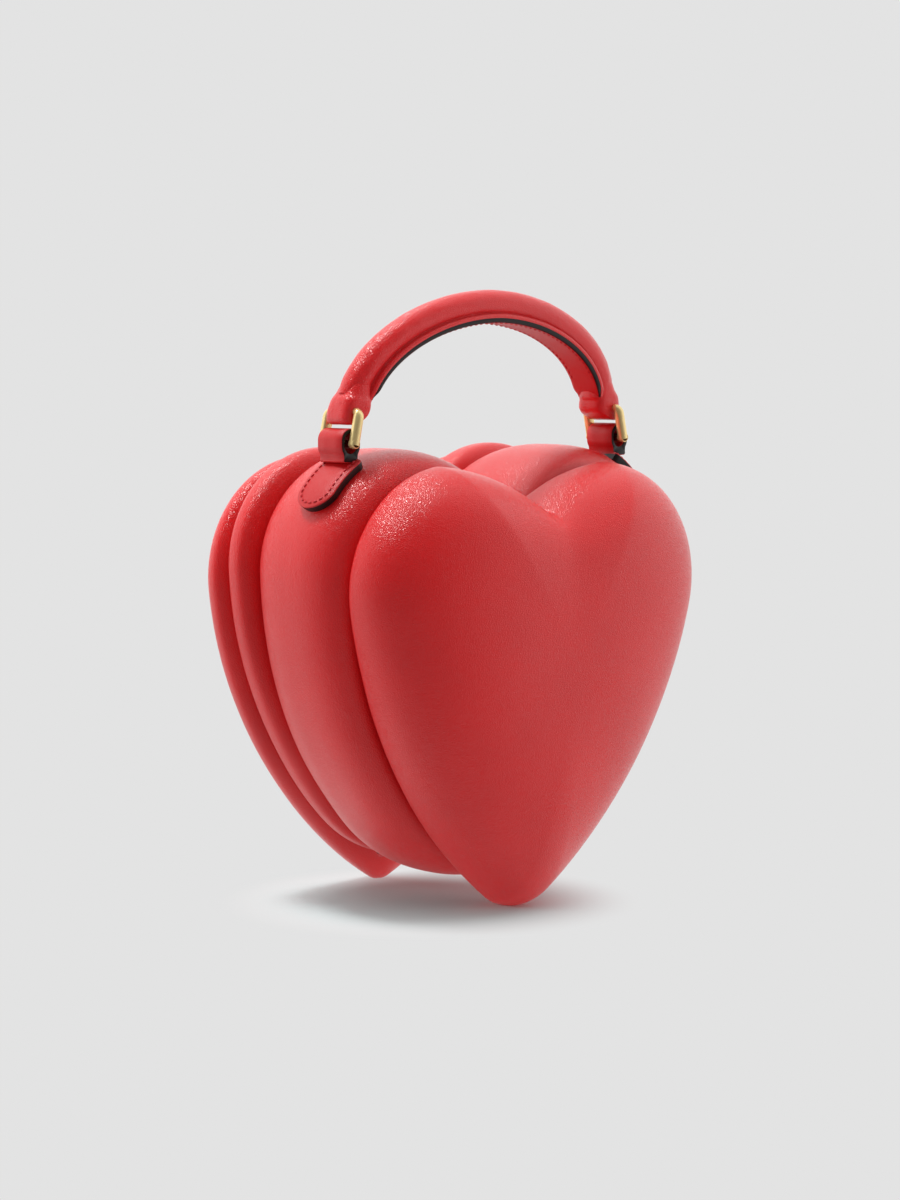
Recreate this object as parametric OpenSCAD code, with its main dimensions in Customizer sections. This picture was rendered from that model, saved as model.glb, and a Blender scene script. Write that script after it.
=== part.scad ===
// Heart shaped purse: padded heart lobes on two moulded trays that open like a shell,
// with a rolled leather handle on two screw shackles.
// X runs across the purse, Y from the front heart to the rear heart, Z up.

/* [Hearts] */
// How far the front heart's sides stay inside the centre lobe's
front_inset = 6.5; // [4:0.5:9]
// How far the front heart's top stays below the centre lobe's
front_drop = 5.5; // [4:0.5:8]
// How far the front heart's two round tops run into each other
front_overlap = 7.3; // [4:0.1:10]
// Radius of the long sides of the front heart
front_side_r = 206; // [198:1:220]
// Radius of the front heart's tip
front_tip_r = 16; // [12:0.5:18]
// How far the rear heart's sides stay inside the centre lobe's
rear_inset = 2; // [1:0.5:5]
// How far the rear heart's top stays below the centre lobe's
rear_drop = 4; // [3:0.5:7]
// How far the rear heart's two round tops run into each other
rear_overlap = 5; // [3:0.1:8]
// Radius of the long sides of the rear heart
rear_side_r = 175; // [168:1:184]
// Radius of the rear heart's tip
rear_tip_r = 9; // [8:0.5:12]
// Dip of the hearts' notch where their domes fade it out
notch_dip = 11.4; // [9:0.2:14]
// Depth of the front heart's dome
front_dome = 37.5; // [30:0.5:45]
// Depth of the rear heart's dome
rear_dome = 18.5; // [10:0.5:20]
// Depth of the rolled edge behind a heart's widest line
heart_roll = 6.5; // [5:0.5:8]
// How far a heart's rolled edge draws in
heart_draw = 12; // [10:0.5:13]
// Forward tilt of the front heart in degrees
front_tilt = 3.8; // [2:0.1:5]

/* [Lobes] */
// Half width of the centre lobe, the widest part
centre_half_w = 96; // [93:0.5:99]
// Height of the centre lobe's top
centre_top = 192; // [190:0.5:194]
// Height of the centre lobe's underside
centre_low = 9.5; // [8:0.5:12]
// How far the centre lobe's two round tops run into each other
centre_overlap = 2.8; // [2:0.1:5]
// Radius of the centre lobe's long sides
centre_side_r = 168; // [160:1:176]
// Radius of the centre lobe's rounded underside
centre_low_r = 72; // [64:1:78]
// How far the narrow lobe's sides stay inside the centre lobe's
narrow_inset = 1.5; // [1:0.5:4]
// How far the narrow lobe's top stays below the centre lobe's
narrow_drop = 0.5; // [0.5:0.5:3]
// How far the narrow lobe's underside stays above the centre lobe's
narrow_lift = 2; // [1:0.5:4]
// How far the narrow lobe's two round tops run into each other
narrow_overlap = 1.5; // [1:0.1:4]
// Radius of the narrow lobe's long sides
narrow_side_r = 166; // [158:1:174]
// Radius of the narrow lobe's rounded underside
narrow_low_r = 64; // [58:1:70]
// Depth of the valleys beside the centre lobe
centre_valley = 14; // [13:0.5:14.5]
// Depth of the valleys beside the narrow lobe
narrow_valley = 13; // [12:0.5:13.5]
// Distance from the front heart's widest line to the parting plane
parting_y = 53.6; // [50:0.5:57]
// Depth of the narrow lobe, from the parting plane to the rear heart
narrow_depth = 17.2; // [16:0.5:20]
// Half of the slot that the zip lies in
slot_half = 2.3; // [2.2:0.05:2.6]

/* [Walls] */
// Thickness of the leather covers
leather_t = 1.6; // [1.2:0.1:2]
// Wall of the moulded trays
tray_t = 2.6; // [2:0.1:3.2]
// Thickness of the stiff heart panels
panel_t = 2.5; // [2:0.1:3]
// Thickness of the lining
lining_t = 0.8; // [0.5:0.1:1.2]
// Thickness of the zip tape
tape_t = 0.8; // [0.5:0.1:1]
// Gap between pieces that are glued or sewn together
seam_gap = 0.3; // [0.15:0.05:0.4]

/* [Zip and hinge] */
// Distance between two teeth of one side
zip_pitch = 4; // [3.6:0.1:5]
// Width of a zip tooth along the chain
tooth_w = 1.5; // [1.2:0.1:1.6]
// Radial height of the zip teeth
tooth_h = 1.6; // [1.4:0.1:1.7]
// Height above the floor where the zip ends
zip_end_z = 46; // [42:1:56]
// Height above the floor of the slider
slider_z = 60; // [56:1:70]
// Length of the zip puller
puller_len = 18; // [12:1:22]
// Height of the hinge pin above the floor
hinge_z = 18; // [16:0.5:20]
// Radius of the hinge pin
hinge_pin_r = 1.2; // [1:0.1:1.3]
// Radius of the leather hinge loops
hinge_loop_r = 2.6; // [2.4:0.1:2.8]
// Total length of the hinge loops
hinge_len = 46; // [36:1:52]

/* [Handle] */
// Place of the handle behind the front heart's widest line
handle_y = 16.5; // [13:0.5:19]
// Distance of the shackle pins outside the middles of the centre lobe's round tops
shackle_out = 28.4; // [27:0.2:30]
// Height of the shackle pins above the centre lobe's top
shackle_rise = 2.5; // [2:0.1:5]
// Distance from the pin to the top bar of a shackle
shackle_len = 13.2; // [12.5:0.1:14]
// Inward lean of the shackles in degrees
shackle_lean = 12; // [8:1:16]
// Thickness of the shackle arms across the handle
arm_t = 3; // [2.6:0.1:3.2]
// Width of the shackle arms along the handle
arm_w = 3.8; // [3.4:0.1:4.2]
// Clear width inside a shackle
shackle_gap = 16.6; // [16.6:0.1:17.4]
// Radius of the shackle's top bar
bar_r = 1.6; // [1.4:0.1:1.8]
// Radius of the screw pin
pin_r = 1.5; // [1.3:0.1:1.6]
// Width of the leather tabs and of the handle's end loops
tab_w = 16; // [15:0.2:16]
// Thickness of the strap that the tabs are folded from
strap_t = 2.1; // [1.8:0.1:2.4]
// Thickness of the tabs' loops
loop_w = 10; // [9:0.2:11]
// Height of the tabs' loops
loop_h = 12.3; // [11.5:0.1:12.8]
// Width of the sewn tongue
tongue_w = 17.6; // [16.4:0.2:19]
// Thickness of the sewn tongue
tongue_t = 2.8; // [2.2:0.1:3.2]
// Height of the handle's top above the shackle pins
handle_rise = 62; // [56:0.5:70]
// Distance of the arch's ends inside the shackles' top bars
arch_inset = 6.8; // [6:0.1:8]
// Radius of the handle's padded roll
roll_r = 5.9; // [5:0.1:6.2]
// Width of the flat strap under the roll
base_w = 16; // [14.5:0.5:17]
// Thickness of the flat strap under the roll
base_t = 3; // [2.4:0.1:3.4]
// Outer radius of the loops at the handle's ends
end_loop_r = 5.5; // [5:0.1:5.8]

/* [Hidden] */

// Counts of points on the tops, the sides and the tip of half an outline
top_n = 14;
side_n = 9;
tip_n = 5;
ring_n = 2 * (top_n + side_n + tip_n);
// Point that every heart outline shrinks towards
core_z_share = 0.59;
core_z = core_z_share * (centre_top - front_drop);
// Running clearance of pins in their bores, and overrun of cuts
run_gap = seam_gap / 6;
cut = leather_t;
reach = 3 * centre_top;
grooved_fn = 48;

// Outlines as half width, top, underside, top radius, side radius and low radius
function shape(half_w, top, low, overlap, side_r, low_r) =
    [half_w, top, low, (half_w + overlap) / 2, side_r, low_r];
front_shape = shape(centre_half_w - front_inset, centre_top - front_drop, 0, front_overlap,
    front_side_r, front_tip_r);
rear_shape = shape(centre_half_w - rear_inset, centre_top - rear_drop, 0, rear_overlap,
    rear_side_r, rear_tip_r);
centre_shape = shape(centre_half_w, centre_top, centre_low, centre_overlap, centre_side_r,
    centre_low_r);
narrow_half_w = centre_half_w - narrow_inset;
narrow_shape = shape(narrow_half_w, centre_top - narrow_drop, centre_low + narrow_lift,
    narrow_overlap, narrow_side_r, narrow_low_r);
centre_top_r = centre_shape[3];

// Centre of the long side arc, tangent to the top arc and the low arc
function side_centre(s) =
    let (a = [s[0] - s[3], s[1] - s[3]], b = [0, s[2] + s[5]],
        ra = s[4] - s[3], rb = s[4] - s[5], d = norm(b - a), u = (b - a) / d,
        w = (ra * ra - rb * rb + d * d) / (2 * d), h = sqrt(ra * ra - w * w))
    a + u * w - [-u[1], u[0]] * h;

function angle_of(v) = atan2(v[1], v[0]);
function arc(c, r, from, to, n, first) =
    [for (i = [first:n]) c + r * [cos(from + (to - from) * i / n), sin(from + (to - from) * i / n)]];

// Right half of a heart outline from the notch down to the tip
function half_outline(s) =
    let (c = side_centre(s), a = [s[0] - s[3], s[1] - s[3]], b = [0, s[2] + s[5]],
        notch = [-a[0], sqrt(s[3] * s[3] - a[0] * a[0])],
        join = angle_of(a - c), low = angle_of(b - c))
    concat(arc(a, s[3], angle_of(notch), join, top_n, 0),
        arc(c, s[4], join, low, side_n, 1),
        arc(b, s[5], low, -90, tip_n, 1));

function whole_outline(s) =
    let (h = half_outline(s), n = len(h))
    concat(h, [for (i = [n - 2:-1:1]) [-h[i][0], h[i][1]]]);

// Outline with its notch filled to a shallow dip, rounded over a share of its half width
dip_power = 1.17;
dip_round_share = 0.1;
function filled(s, p) =
    let (c = s[0] - s[3], e = dip_round_share * c, x = sqrt(p[0] * p[0] + e * e) - e,
        f = max(0, 1 - x / c))
    p[1] > s[1] - s[3] && f > 0 ? [p[0], s[1] - notch_dip * pow(f, dip_power)] : p;

// Outline shrunk by a share k towards the core point, with the notch faded by a share m
function shrunk(s, k, m = 0) =
    [for (p = whole_outline(s)) let (q = p * (1 - m) + filled(s, p) * m)
        [k * q[0], core_z + k * (q[1] - core_z)]];

// How far the notch is filled at the rolled edge, and on a dome at a share k of its outline
edge_fill_share = 0.53;
fade_share = 0.23;
function notch_fade(k) =
    let (f = min(1, max(0, (1 - k) / fade_share)), m = f * f * (3 - 2 * f))
    edge_fill_share + (1 - edge_fill_share) * m;

// Squeeze of the lobes' edges beside the slider, by the height on the right side
bay_depth = 2.4 * leather_t;
bay_len = 9 * leather_t;
function bay(p) = p[0] > 0 ? bay_depth * exp(-pow((p[1] - slider_z) / bay_len, 2)) : 0;

// Faces of a loft: rings of n points, closed on themselves
function ring_faces(count, n, closed) =
    [for (j = [0:count - (closed ? 1 : 2)]) for (i = [0:n - 1])
        let (a = j * n + i, b = j * n + (i + 1) % n, c = ((j + 1) % count) * n + i,
            d = ((j + 1) % count) * n + (i + 1) % n)
        each [[a, d, b], [a, c, d]]];
// A padding's rings run as its cover's inner side does, so its faces turn the other way
function turned(faces, inner) = inner ? [for (f = faces) [f[2], f[1], f[0]]] : faces;

module loft_ring(rings, inner = false) {
    n = len(rings[0]);
    polyhedron(points = [for (r = rings) each r],
        faces = turned(ring_faces(len(rings), n, true), inner));
}

// A loft whose first and last rings are closed by a point each
module loft_capped(rings, first, last, inner = false) {
    n = len(rings[0]);
    m = len(rings);
    polyhedron(points = concat([for (r = rings) each r], [first, last]),
        faces = turned(concat(ring_faces(m, n, false),
            [for (i = [0:n - 1]) [m * n, i, (i + 1) % n]],
            [for (i = [0:n - 1]) [m * n + 1, (m - 1) * n + (i + 1) % n, (m - 1) * n + i]]),
            inner));
}

// Heart shells: the local valley plane is y = 0 and the dome bulges to -y
dome_n = 9;
roll_n = 3;
crown_power = 2.3;
side_power = 3;

function dome_point(f, depth) =
    [pow(max(0, cos(f)), 2 / side_power), -heart_roll - depth * pow(max(0, sin(f)), 2 / crown_power)];
function dome_ring(s, k, y, m) = [for (p = shrunk(s, k, m)) [p[0], y, p[1]]];

// Shares of the half width at the valley, and where the cover's turned edge ends
function valley_share(s, draw) = 1 - draw / s[0];
function edge_share(s, draw) = valley_share(s, draw) - 1.5 * leather_t / s[0];

// Inner side of a heart cover, drawn in by a share t and a depth
function heart_inner(s, depth, inset, n) =
    [for (i = [0:n - 1]) let (f = 80 * i / (n - 1), p = dome_point(f, depth - inset),
        k = p[0] * (1 - inset / s[0]))
        dome_ring(s, k, p[1], notch_fade(p[0]))];

module heart_cover(s, depth) {
    kv = valley_share(s, heart_draw);
    ke = edge_share(s, heart_draw);
    outer = [for (i = [0:dome_n - 1]) let (p = dome_point(88 - 88 * i / dome_n, depth))
        dome_ring(s, p[0], p[1], notch_fade(p[0]))];
    edge = [for (i = [0:roll_n]) let (f = 90 * i / roll_n)
        dome_ring(s, 1 - (1 - kv) * (1 - cos(f)), -heart_roll * (1 - sin(f)), edge_fill_share)];
    inner = concat([dome_ring(s, ke, 0, edge_fill_share),
        dome_ring(s, ke, -panel_t - seam_gap, edge_fill_share)],
        heart_inner(s, depth, leather_t, 5));
    tip = dome_point(90, depth);
    loft_capped(concat(outer, edge, inner), [0, tip[1], core_z],
        [0, -heart_roll - depth + leather_t, core_z]);
}

module heart_padding(s, depth) {
    ke = edge_share(s, heart_draw) - seam_gap / s[0];
    inner = heart_inner(s, depth, leather_t + seam_gap, 5);
    rings = concat([dome_ring(s, ke, -panel_t - 2 * seam_gap, edge_fill_share)], inner);
    loft_capped(rings, [0, -panel_t - 2 * seam_gap, core_z],
        [0, -heart_roll - depth + leather_t + seam_gap, core_z]);
}

module heart_panel(s) {
    ke = edge_share(s, heart_draw) - seam_gap / s[0];
    rotate([90, 0, 0]) linear_extrude(panel_t)
        polygon(shrunk(s, ke, edge_fill_share));
}

// Lobes between two planes, the front one tilted and the rear one upright
lobe_n = 9;
lobe_power = 2.8;
function lobe_k(u, drop) = 1 - drop * (1 - sqrt(max(0, 1 - pow(abs(u), lobe_power))));
function tilted(p, y, angle) = [p[0], y - p[1] * sin(angle), p[1] * cos(angle)];

// Ring of a lobe at u from -1 to 1 and a share k, squeezed at the sides with a bay
function lobe_ring(s, y0, y1, u, k, angle, bay0, bay1) =
    [for (p = shrunk(s, k)) let (a = y0 + bay0 * bay(p), b = y1 - bay1 * bay(p),
        y = (a + b) / 2 + (b - a) / 2 * u)
        tilted(p, y, angle * (y1 - y) / (y1 - y0))];

// Inner profile of a lobe's cover: shares of its half depth, from the edge over the crown
inner_shares = [1, 0.85, 0.42, -0.42, -0.85, -1];
function inner_k(s, c, drop, ke) = abs(c) == 1 ? ke : lobe_k(c, drop / s[0]) - leather_t / s[0];

module lobe_cover(s, y0, y1, drop, ke, angle, bay0, bay1) {
    outer = [for (i = [0:lobe_n]) let (u = sin(-90 + 180 * i / lobe_n))
        lobe_ring(s, y0, y1, u, lobe_k(u, drop / s[0]), angle, bay0, bay1)];
    w = 1 - 2 * leather_t / (y1 - y0);
    inner = [for (c = inner_shares)
        lobe_ring(s, y0, y1, c * w, inner_k(s, c, drop, ke), angle, bay0, bay1)];
    loft_ring(concat(outer, [lobe_ring(s, y0, y1, 1, ke, angle, bay0, bay1)], inner,
        [lobe_ring(s, y0, y1, -1, ke, angle, bay0, bay1)]));
}

module lobe_padding(s, y0, y1, drop, ke, angle, bay0, bay1) {
    w = 1 - 2 * (leather_t + seam_gap) / (y1 - y0);
    loft_ring([for (c = inner_shares)
        let (k = inner_k(s, c, drop, ke) - (abs(c) == 1 ? 0 : seam_gap / s[0]))
        lobe_ring(s, y0, y1, c * w, k, angle, bay0, bay1)], inner = true);
}

// Depths along Y, from the front heart's widest line
front_plane = heart_roll;
centre_y0 = front_plane + seam_gap;
centre_y1 = parting_y - slot_half;
narrow_y0 = parting_y + slot_half;
rear_plane = parting_y + narrow_depth;
narrow_y1 = rear_plane - seam_gap;

// Shares of the narrow outline that the trays, tapes and linings follow
tray_share = 0.785;
tray_in_share = tray_share - tray_t / narrow_half_w;
tape_in_share = tray_share + seam_gap / narrow_half_w;
tape_share = tape_in_share + tape_t / narrow_half_w;
teeth_share = tape_share + tooth_h / narrow_half_w;
lining_share = tray_in_share - seam_gap / narrow_half_w;
lining_in_share = lining_share - lining_t / narrow_half_w;
// Shares of the lobes' outlines where the covers' turned edges end
centre_edge = tape_share * max(narrow_half_w / centre_half_w,
    (narrow_shape[1] - core_z) / (centre_top - core_z)) + 2 * seam_gap / centre_half_w;
narrow_edge = tape_share + seam_gap / narrow_half_w;

module prism(share, y0, y1) {
    translate([0, y1, 0]) rotate([90, 0, 0]) linear_extrude(y1 - y0) polygon(shrunk(narrow_shape, share));
}

// Everything behind the tilted front plane, moved back by d
module behind_front(d) {
    rotate([front_tilt, 0, 0]) translate([-reach, front_plane + d, -reach])
        cube([2 * reach, reach, 2 * reach]);
}

module walls(out, in, y0, y1) {
    difference() {
        prism(out, y0, y1);
        prism(in, y0 - cut, y1 + cut);
    }
}

module above_zip_end(z) {
    translate([-reach, -reach, z]) cube([2 * reach, 2 * reach, reach]);
}

// Lowest point and the middle of the depth of the whole purse, which is set on its origin
dome_rings = [for (i = [0:dome_n]) dome_point(88 - 88 * i / dome_n, front_dome)];
front_y = min([for (p = dome_rings) for (q = shrunk(front_shape, p[0], notch_fade(p[0])))
    (front_plane + p[1]) * cos(front_tilt) - q[1] * sin(front_tilt)]);
low_z = min([for (p = dome_rings) for (q = shrunk(front_shape, p[0], notch_fade(p[0])))
    (front_plane + p[1]) * sin(front_tilt) + q[1] * cos(front_tilt)]);
rear_y = rear_plane + heart_roll + rear_dome;
mid_y = (front_y + rear_y) / 2;
// Depth of the small flats that the two tips stand on
foot_flat = seam_gap * 5 / 3;

module seat() {
    translate([0, -mid_y, 0]) children();
}

module flat_foot() {
    difference() {
        translate([0, 0, -foot_flat]) children();
        translate([-reach, -reach, -reach]) cube([2 * reach, 3 * reach, reach]);
    }
}

module front_place() {
    translate([0, 0, -low_z]) rotate([front_tilt, 0, 0]) translate([0, front_plane, 0]) children();
}

module rear_place() {
    translate([0, rear_plane, 0]) mirror([0, 1, 0]) children();
}

module front_heart_cover() {
    color("firebrick") flat_foot() front_place() heart_cover(front_shape, front_dome);
}

module front_heart_padding() {
    color("gainsboro") translate([0, 0, -foot_flat]) front_place()
        heart_padding(front_shape, front_dome);
}

module front_panel() {
    color("tan") translate([0, 0, -foot_flat]) front_place() heart_panel(front_shape);
}

module rear_heart_cover() {
    color("firebrick") flat_foot() rear_place() heart_cover(rear_shape, rear_dome);
}

module rear_heart_padding() {
    color("gainsboro") translate([0, 0, -foot_flat]) rear_place() heart_padding(rear_shape, rear_dome);
}

module rear_panel() {
    color("tan") translate([0, 0, -foot_flat]) rear_place() heart_panel(rear_shape);
}

module centre_lobe_cover() {
    color("firebrick") lobe_cover(centre_shape, centre_y0, centre_y1, centre_valley, centre_edge,
        front_tilt, 0, 1);
}

module centre_lobe_padding() {
    color("gainsboro") lobe_padding(centre_shape, centre_y0, centre_y1, centre_valley, centre_edge,
        front_tilt, 0, 1);
}

module narrow_lobe_cover() {
    color("firebrick") lobe_cover(narrow_shape, narrow_y0, narrow_y1, narrow_valley, narrow_edge,
        0, 1, 0);
}

module narrow_lobe_padding() {
    color("gainsboro") lobe_padding(narrow_shape, narrow_y0, narrow_y1, narrow_valley, narrow_edge,
        0, 1, 0);
}

module case_tray() {
    color("dimgray") intersection() {
        walls(tray_share, tray_in_share, -reach / 2, parting_y - seam_gap);
        behind_front(seam_gap);
    }
}

module rear_tray() {
    color("dimgray") walls(tray_share, tray_in_share, parting_y + seam_gap, rear_plane - seam_gap);
}

module case_lining() {
    color("rosybrown") difference() {
        intersection() {
            prism(lining_share, -reach / 2, parting_y - 2 * seam_gap);
            behind_front(seam_gap);
        }
        intersection() {
            prism(lining_in_share, -reach / 2, parting_y + cut);
            behind_front(seam_gap + lining_t);
        }
    }
}

module rear_lining() {
    color("rosybrown") difference() {
        prism(lining_share, parting_y + 2 * seam_gap, rear_plane - seam_gap);
        prism(lining_in_share, parting_y - cut, rear_plane - seam_gap - lining_t);
    }
}

// Zip: a tape on each tray, a bead along its edge and teeth that mesh at the parting plane
tape_w = 4 * slot_half;
bead_y = slot_half - seam_gap;
bead_w = bead_y / 2;
tooth_reach = bead_w - seam_gap;
rear_zip_end_z = slider_z + 3 * zip_pitch;

module zip_band(in, out, y0, y1) {
    walls(out, in, y0, y1);
}

// Points one pitch apart along the zip's path, counted from the notch
function run_length(p, n) = n < 1 ? 0 : norm(p[n] - p[n - 1]) + run_length(p, n - 1);
chain_path = [for (p = half_outline(narrow_shape)) let (k = (tape_share + teeth_share) / 2)
    [k * p[0], core_z + k * (p[1] - core_z)]];
chain_steps = [for (i = [0:len(chain_path) - 1]) run_length(chain_path, i)];
function along(d) =
    let (i = max([for (j = [0:len(chain_steps) - 2]) chain_steps[j] <= d ? j : 0]),
        f = (d - chain_steps[i]) / (chain_steps[i + 1] - chain_steps[i]),
        p = chain_path[i] + f * (chain_path[i + 1] - chain_path[i]),
        turn = angle_of(chain_path[i + 1] - chain_path[i]), out = [-sin(turn), cos(turn)],
        k = (tape_share + teeth_share) / 2, gap = (k - tray_share) / k * (p - [0, core_z]) * out,
        shift = max(0, tooth_h / 2 + seam_gap - gap))
    [p + out * shift, turn, shift];

// A tooth that the notch shifts outwards keeps a root that reaches back to the bead
module teeth(y0, y1, phase, end_right, end_left) {
    count = floor(chain_steps[len(chain_steps) - 1] / zip_pitch) - 1;
    half_h = (tooth_h - seam_gap) / 2;
    translate([0, y1, 0]) rotate([90, 0, 0]) linear_extrude(y1 - y0)
        for (side = [1, -1]) for (i = [1:count]) {
            at = along((i + phase) * zip_pitch);
            root = max(half_h, at[2]);
            if (at[0][1] > (side > 0 ? end_right : end_left) + zip_pitch)
                translate([side * at[0][0], at[0][1]]) rotate(side > 0 ? at[1] : 180 - at[1])
                    translate([-tooth_w / 2, side > 0 ? -root : -half_h])
                        square([tooth_w, root + half_h]);
        }
}

module case_zip_tape() {
    color("maroon") intersection() {
        zip_band(tape_in_share, tape_share, parting_y - tape_w, parting_y - bead_w);
        above_zip_end(zip_end_z);
    }
}

module case_zip_teeth() {
    color("gold") union() {
        intersection() {
            zip_band(tape_share + run_gap / narrow_half_w, teeth_share, parting_y - bead_y,
                parting_y - bead_w);
            above_zip_end(zip_end_z);
        }
        teeth(parting_y - bead_w - run_gap, parting_y + tooth_reach, 0, rear_zip_end_z, zip_end_z);
    }
}

module rear_zip_tape() {
    color("maroon") intersection() {
        zip_band(tape_in_share, tape_share, parting_y + bead_w, parting_y + tape_w);
        above_zip_end(zip_end_z);
        union() {
            above_zip_end(rear_zip_end_z);
            translate([-reach, -reach, 0]) cube([reach, 2 * reach, reach]);
        }
    }
}

module rear_zip_teeth() {
    color("gold") union() {
        intersection() {
            zip_band(tape_share + run_gap / narrow_half_w, teeth_share, parting_y + bead_w,
                parting_y + bead_y);
            above_zip_end(zip_end_z);
            union() {
                above_zip_end(rear_zip_end_z);
                translate([-reach, -reach, 0]) cube([reach, 2 * reach, reach]);
            }
        }
        teeth(parting_y - tooth_reach, parting_y + bead_w + run_gap, 0.5, rear_zip_end_z, zip_end_z);
    }
}

// Slider at the lower right end of the zip, with its plate over the bead
side_c = side_centre(narrow_shape);
slider_r = teeth_share * narrow_side_r + seam_gap;
slider_c = [teeth_share * side_c[0], core_z + teeth_share * (side_c[1] - core_z)];
slider_angle = asin((slider_z - slider_c[1]) / slider_r);
slider_w = 2 * (slot_half + bay_depth / 2);
slider_len = 9 * tooth_h / 1.6;
slider_plate = tooth_h / 1.3;
bail_r = slider_plate;
bail_hole = bail_r / 2;

// Pivot of the puller, which hangs straight down from the slider
puller_at = slider_c + (slider_r + slider_plate + bail_r) * [cos(slider_angle), sin(slider_angle)];

module slider_place() {
    translate([slider_c[0], parting_y, slider_c[1]]) rotate([0, -slider_angle, 0])
        translate([slider_r, 0, 0]) children();
}

module zip_slider() {
    color("gold") slider_place() difference() {
        union() {
            translate([0, -slider_w / 2, -slider_len / 2])
                cube([slider_plate, slider_w, slider_len]);
            translate([slider_plate + bail_r, slider_w / 4, 0]) rotate([90, 0, 0])
                cylinder(r = bail_r, h = slider_w / 2, $fn = grooved_fn);
            translate([slider_plate / 2, -slider_w / 4, -bail_r])
                cube([slider_plate / 2 + bail_r, slider_w / 2, 2 * bail_r]);
        }
        translate([slider_plate + bail_r, slider_w, 0]) rotate([90, 0, 0])
            cylinder(r = bail_hole + run_gap, h = 2 * slider_w, $fn = grooved_fn);
        translate([slider_plate, -slot_half / 2, -slider_len])
            cube([slider_len, slot_half, 2 * slider_len]);
    }
}

module zip_puller() {
    puller_w = slot_half - 2 * seam_gap;
    puller_eye = 1.5 * bail_hole;
    color("gold") translate([puller_at[0], parting_y, puller_at[1]]) union() {
        translate([0, slider_w / 4, 0]) rotate([90, 0, 0])
            cylinder(r = bail_hole, h = slider_w / 2, $fn = grooved_fn);
        translate([0, puller_w / 2, 0]) rotate([90, 0, 0]) linear_extrude(puller_w) union() {
            circle(r = puller_eye, $fn = grooved_fn);
            translate([-bail_hole, -puller_len]) square([2 * bail_hole, puller_len]);
            translate([0, -puller_len]) circle(r = puller_eye, $fn = grooved_fn);
        }
    }
}

// Hinge at the foot of the parting plane: leather loops on a steel pin
hinge_parts = 3;
hinge_part = hinge_len / hinge_parts;

module hinge_loops(side, from, to) {
    difference() {
        union() {
            translate([from, parting_y, hinge_z]) rotate([0, 90, 0])
                cylinder(r = hinge_loop_r, h = to - from, $fn = grooved_fn);
            translate([from, parting_y + (side > 0 ? seam_gap : -seam_gap - leather_t), hinge_z])
                cube([to - from, leather_t, zip_end_z - hinge_z]);
        }
        translate([from - cut, parting_y, hinge_z]) rotate([0, 90, 0])
            cylinder(r = hinge_pin_r + run_gap, h = to - from + 2 * cut, $fn = grooved_fn);
        prism(tape_in_share, parting_y - tape_w, parting_y + tape_w);
    }
}

module case_hinge_loops() {
    color("firebrick") union() {
        hinge_loops(-1, -hinge_len / 2, -hinge_part / 2);
        hinge_loops(-1, hinge_part / 2, hinge_len / 2);
    }
}

module rear_hinge_loop() {
    color("firebrick") hinge_loops(1, -hinge_part / 2 + seam_gap, hinge_part / 2 - seam_gap);
}

module hinge_pin() {
    color("silver") translate([-hinge_len / 2 - hinge_pin_r, parting_y, hinge_z]) rotate([0, 90, 0])
        cylinder(r = hinge_pin_r, h = hinge_len + 2 * hinge_pin_r, $fn = grooved_fn);
}

// Leather tabs: a folded loop on a tongue that lies on the centre lobe's round top
lobe_c = [centre_half_w - centre_top_r, centre_top - centre_top_r];
shackle_half_x = lobe_c[0] + shackle_out;
shackle_z = centre_top + shackle_rise;
tongue_r = centre_top_r + seam_gap;
loop_half = loop_w / 2;
void_half = loop_half - strap_t;
loop_top = shackle_z + loop_h / 2;
loop_low = shackle_z - loop_h / 2;
tongue_tip_angle = 30;
tongue_end_angle = 61;

module bar_slot(x, low, top, half) {
    translate([x, low + half]) circle(r = half, $fn = grooved_fn);
    translate([x, top - half]) circle(r = half, $fn = grooved_fn);
    translate([x - half, low + half]) square([2 * half, top - low - 2 * half]);
}

module tab() {
    color("firebrick") translate([0, handle_y, 0]) union() {
        translate([0, tab_w / 2, 0]) rotate([90, 0, 0]) linear_extrude(tab_w) difference() {
            union() {
                bar_slot(shackle_half_x, loop_low, loop_top, loop_half);
                translate([shackle_half_x - loop_half, loop_low - loop_half])
                    square([1.5 * loop_half, loop_half + strap_t / 2]);
            }
            bar_slot(shackle_half_x, loop_low + strap_t, loop_top - strap_t, void_half);
            translate(lobe_c) circle(r = tongue_r + tongue_t / 2, $fn = 4 * grooved_fn);
        }
        intersection() {
            translate([lobe_c[0], tongue_w / 2, lobe_c[1]]) rotate([90, 0, 0])
                linear_extrude(tongue_w) difference() {
                    circle(r = tongue_r + tongue_t, $fn = 4 * grooved_fn);
                    circle(r = tongue_r, $fn = 4 * grooved_fn);
                }
            translate([lobe_c[0], 0, lobe_c[1]])
                rotate([0, 90 - (tongue_tip_angle + tongue_end_angle) / 2, 0]) tongue_plan();
        }
    }
}

// Plan of the tongue as seen along the radius through its middle
module tongue_plan() {
    half_span = (tongue_end_angle - tongue_tip_angle) / 2;
    half_len = (tongue_r + tongue_t) * sin(half_span);
    linear_extrude(2 * tongue_r) union() {
        translate([-half_len, -tongue_w / 2]) square([2 * half_len - tongue_w / 2, tongue_w]);
        translate([half_len - tongue_w / 2, 0]) circle(r = tongue_w / 2, $fn = grooved_fn);
    }
}

module right_tab() {
    tab();
}

module left_tab() {
    mirror([1, 0, 0]) tab();
}

// Shackles: two arms with rounded bends and a round top bar, and a screw pin below
bend_r = arm_t / 2 + seam_gap;
arm_y = shackle_gap / 2 + arm_t / 2;

module shackle_place() {
    translate([shackle_half_x, handle_y, shackle_z]) rotate([0, -shackle_lean, 0]) children();
}

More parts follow.
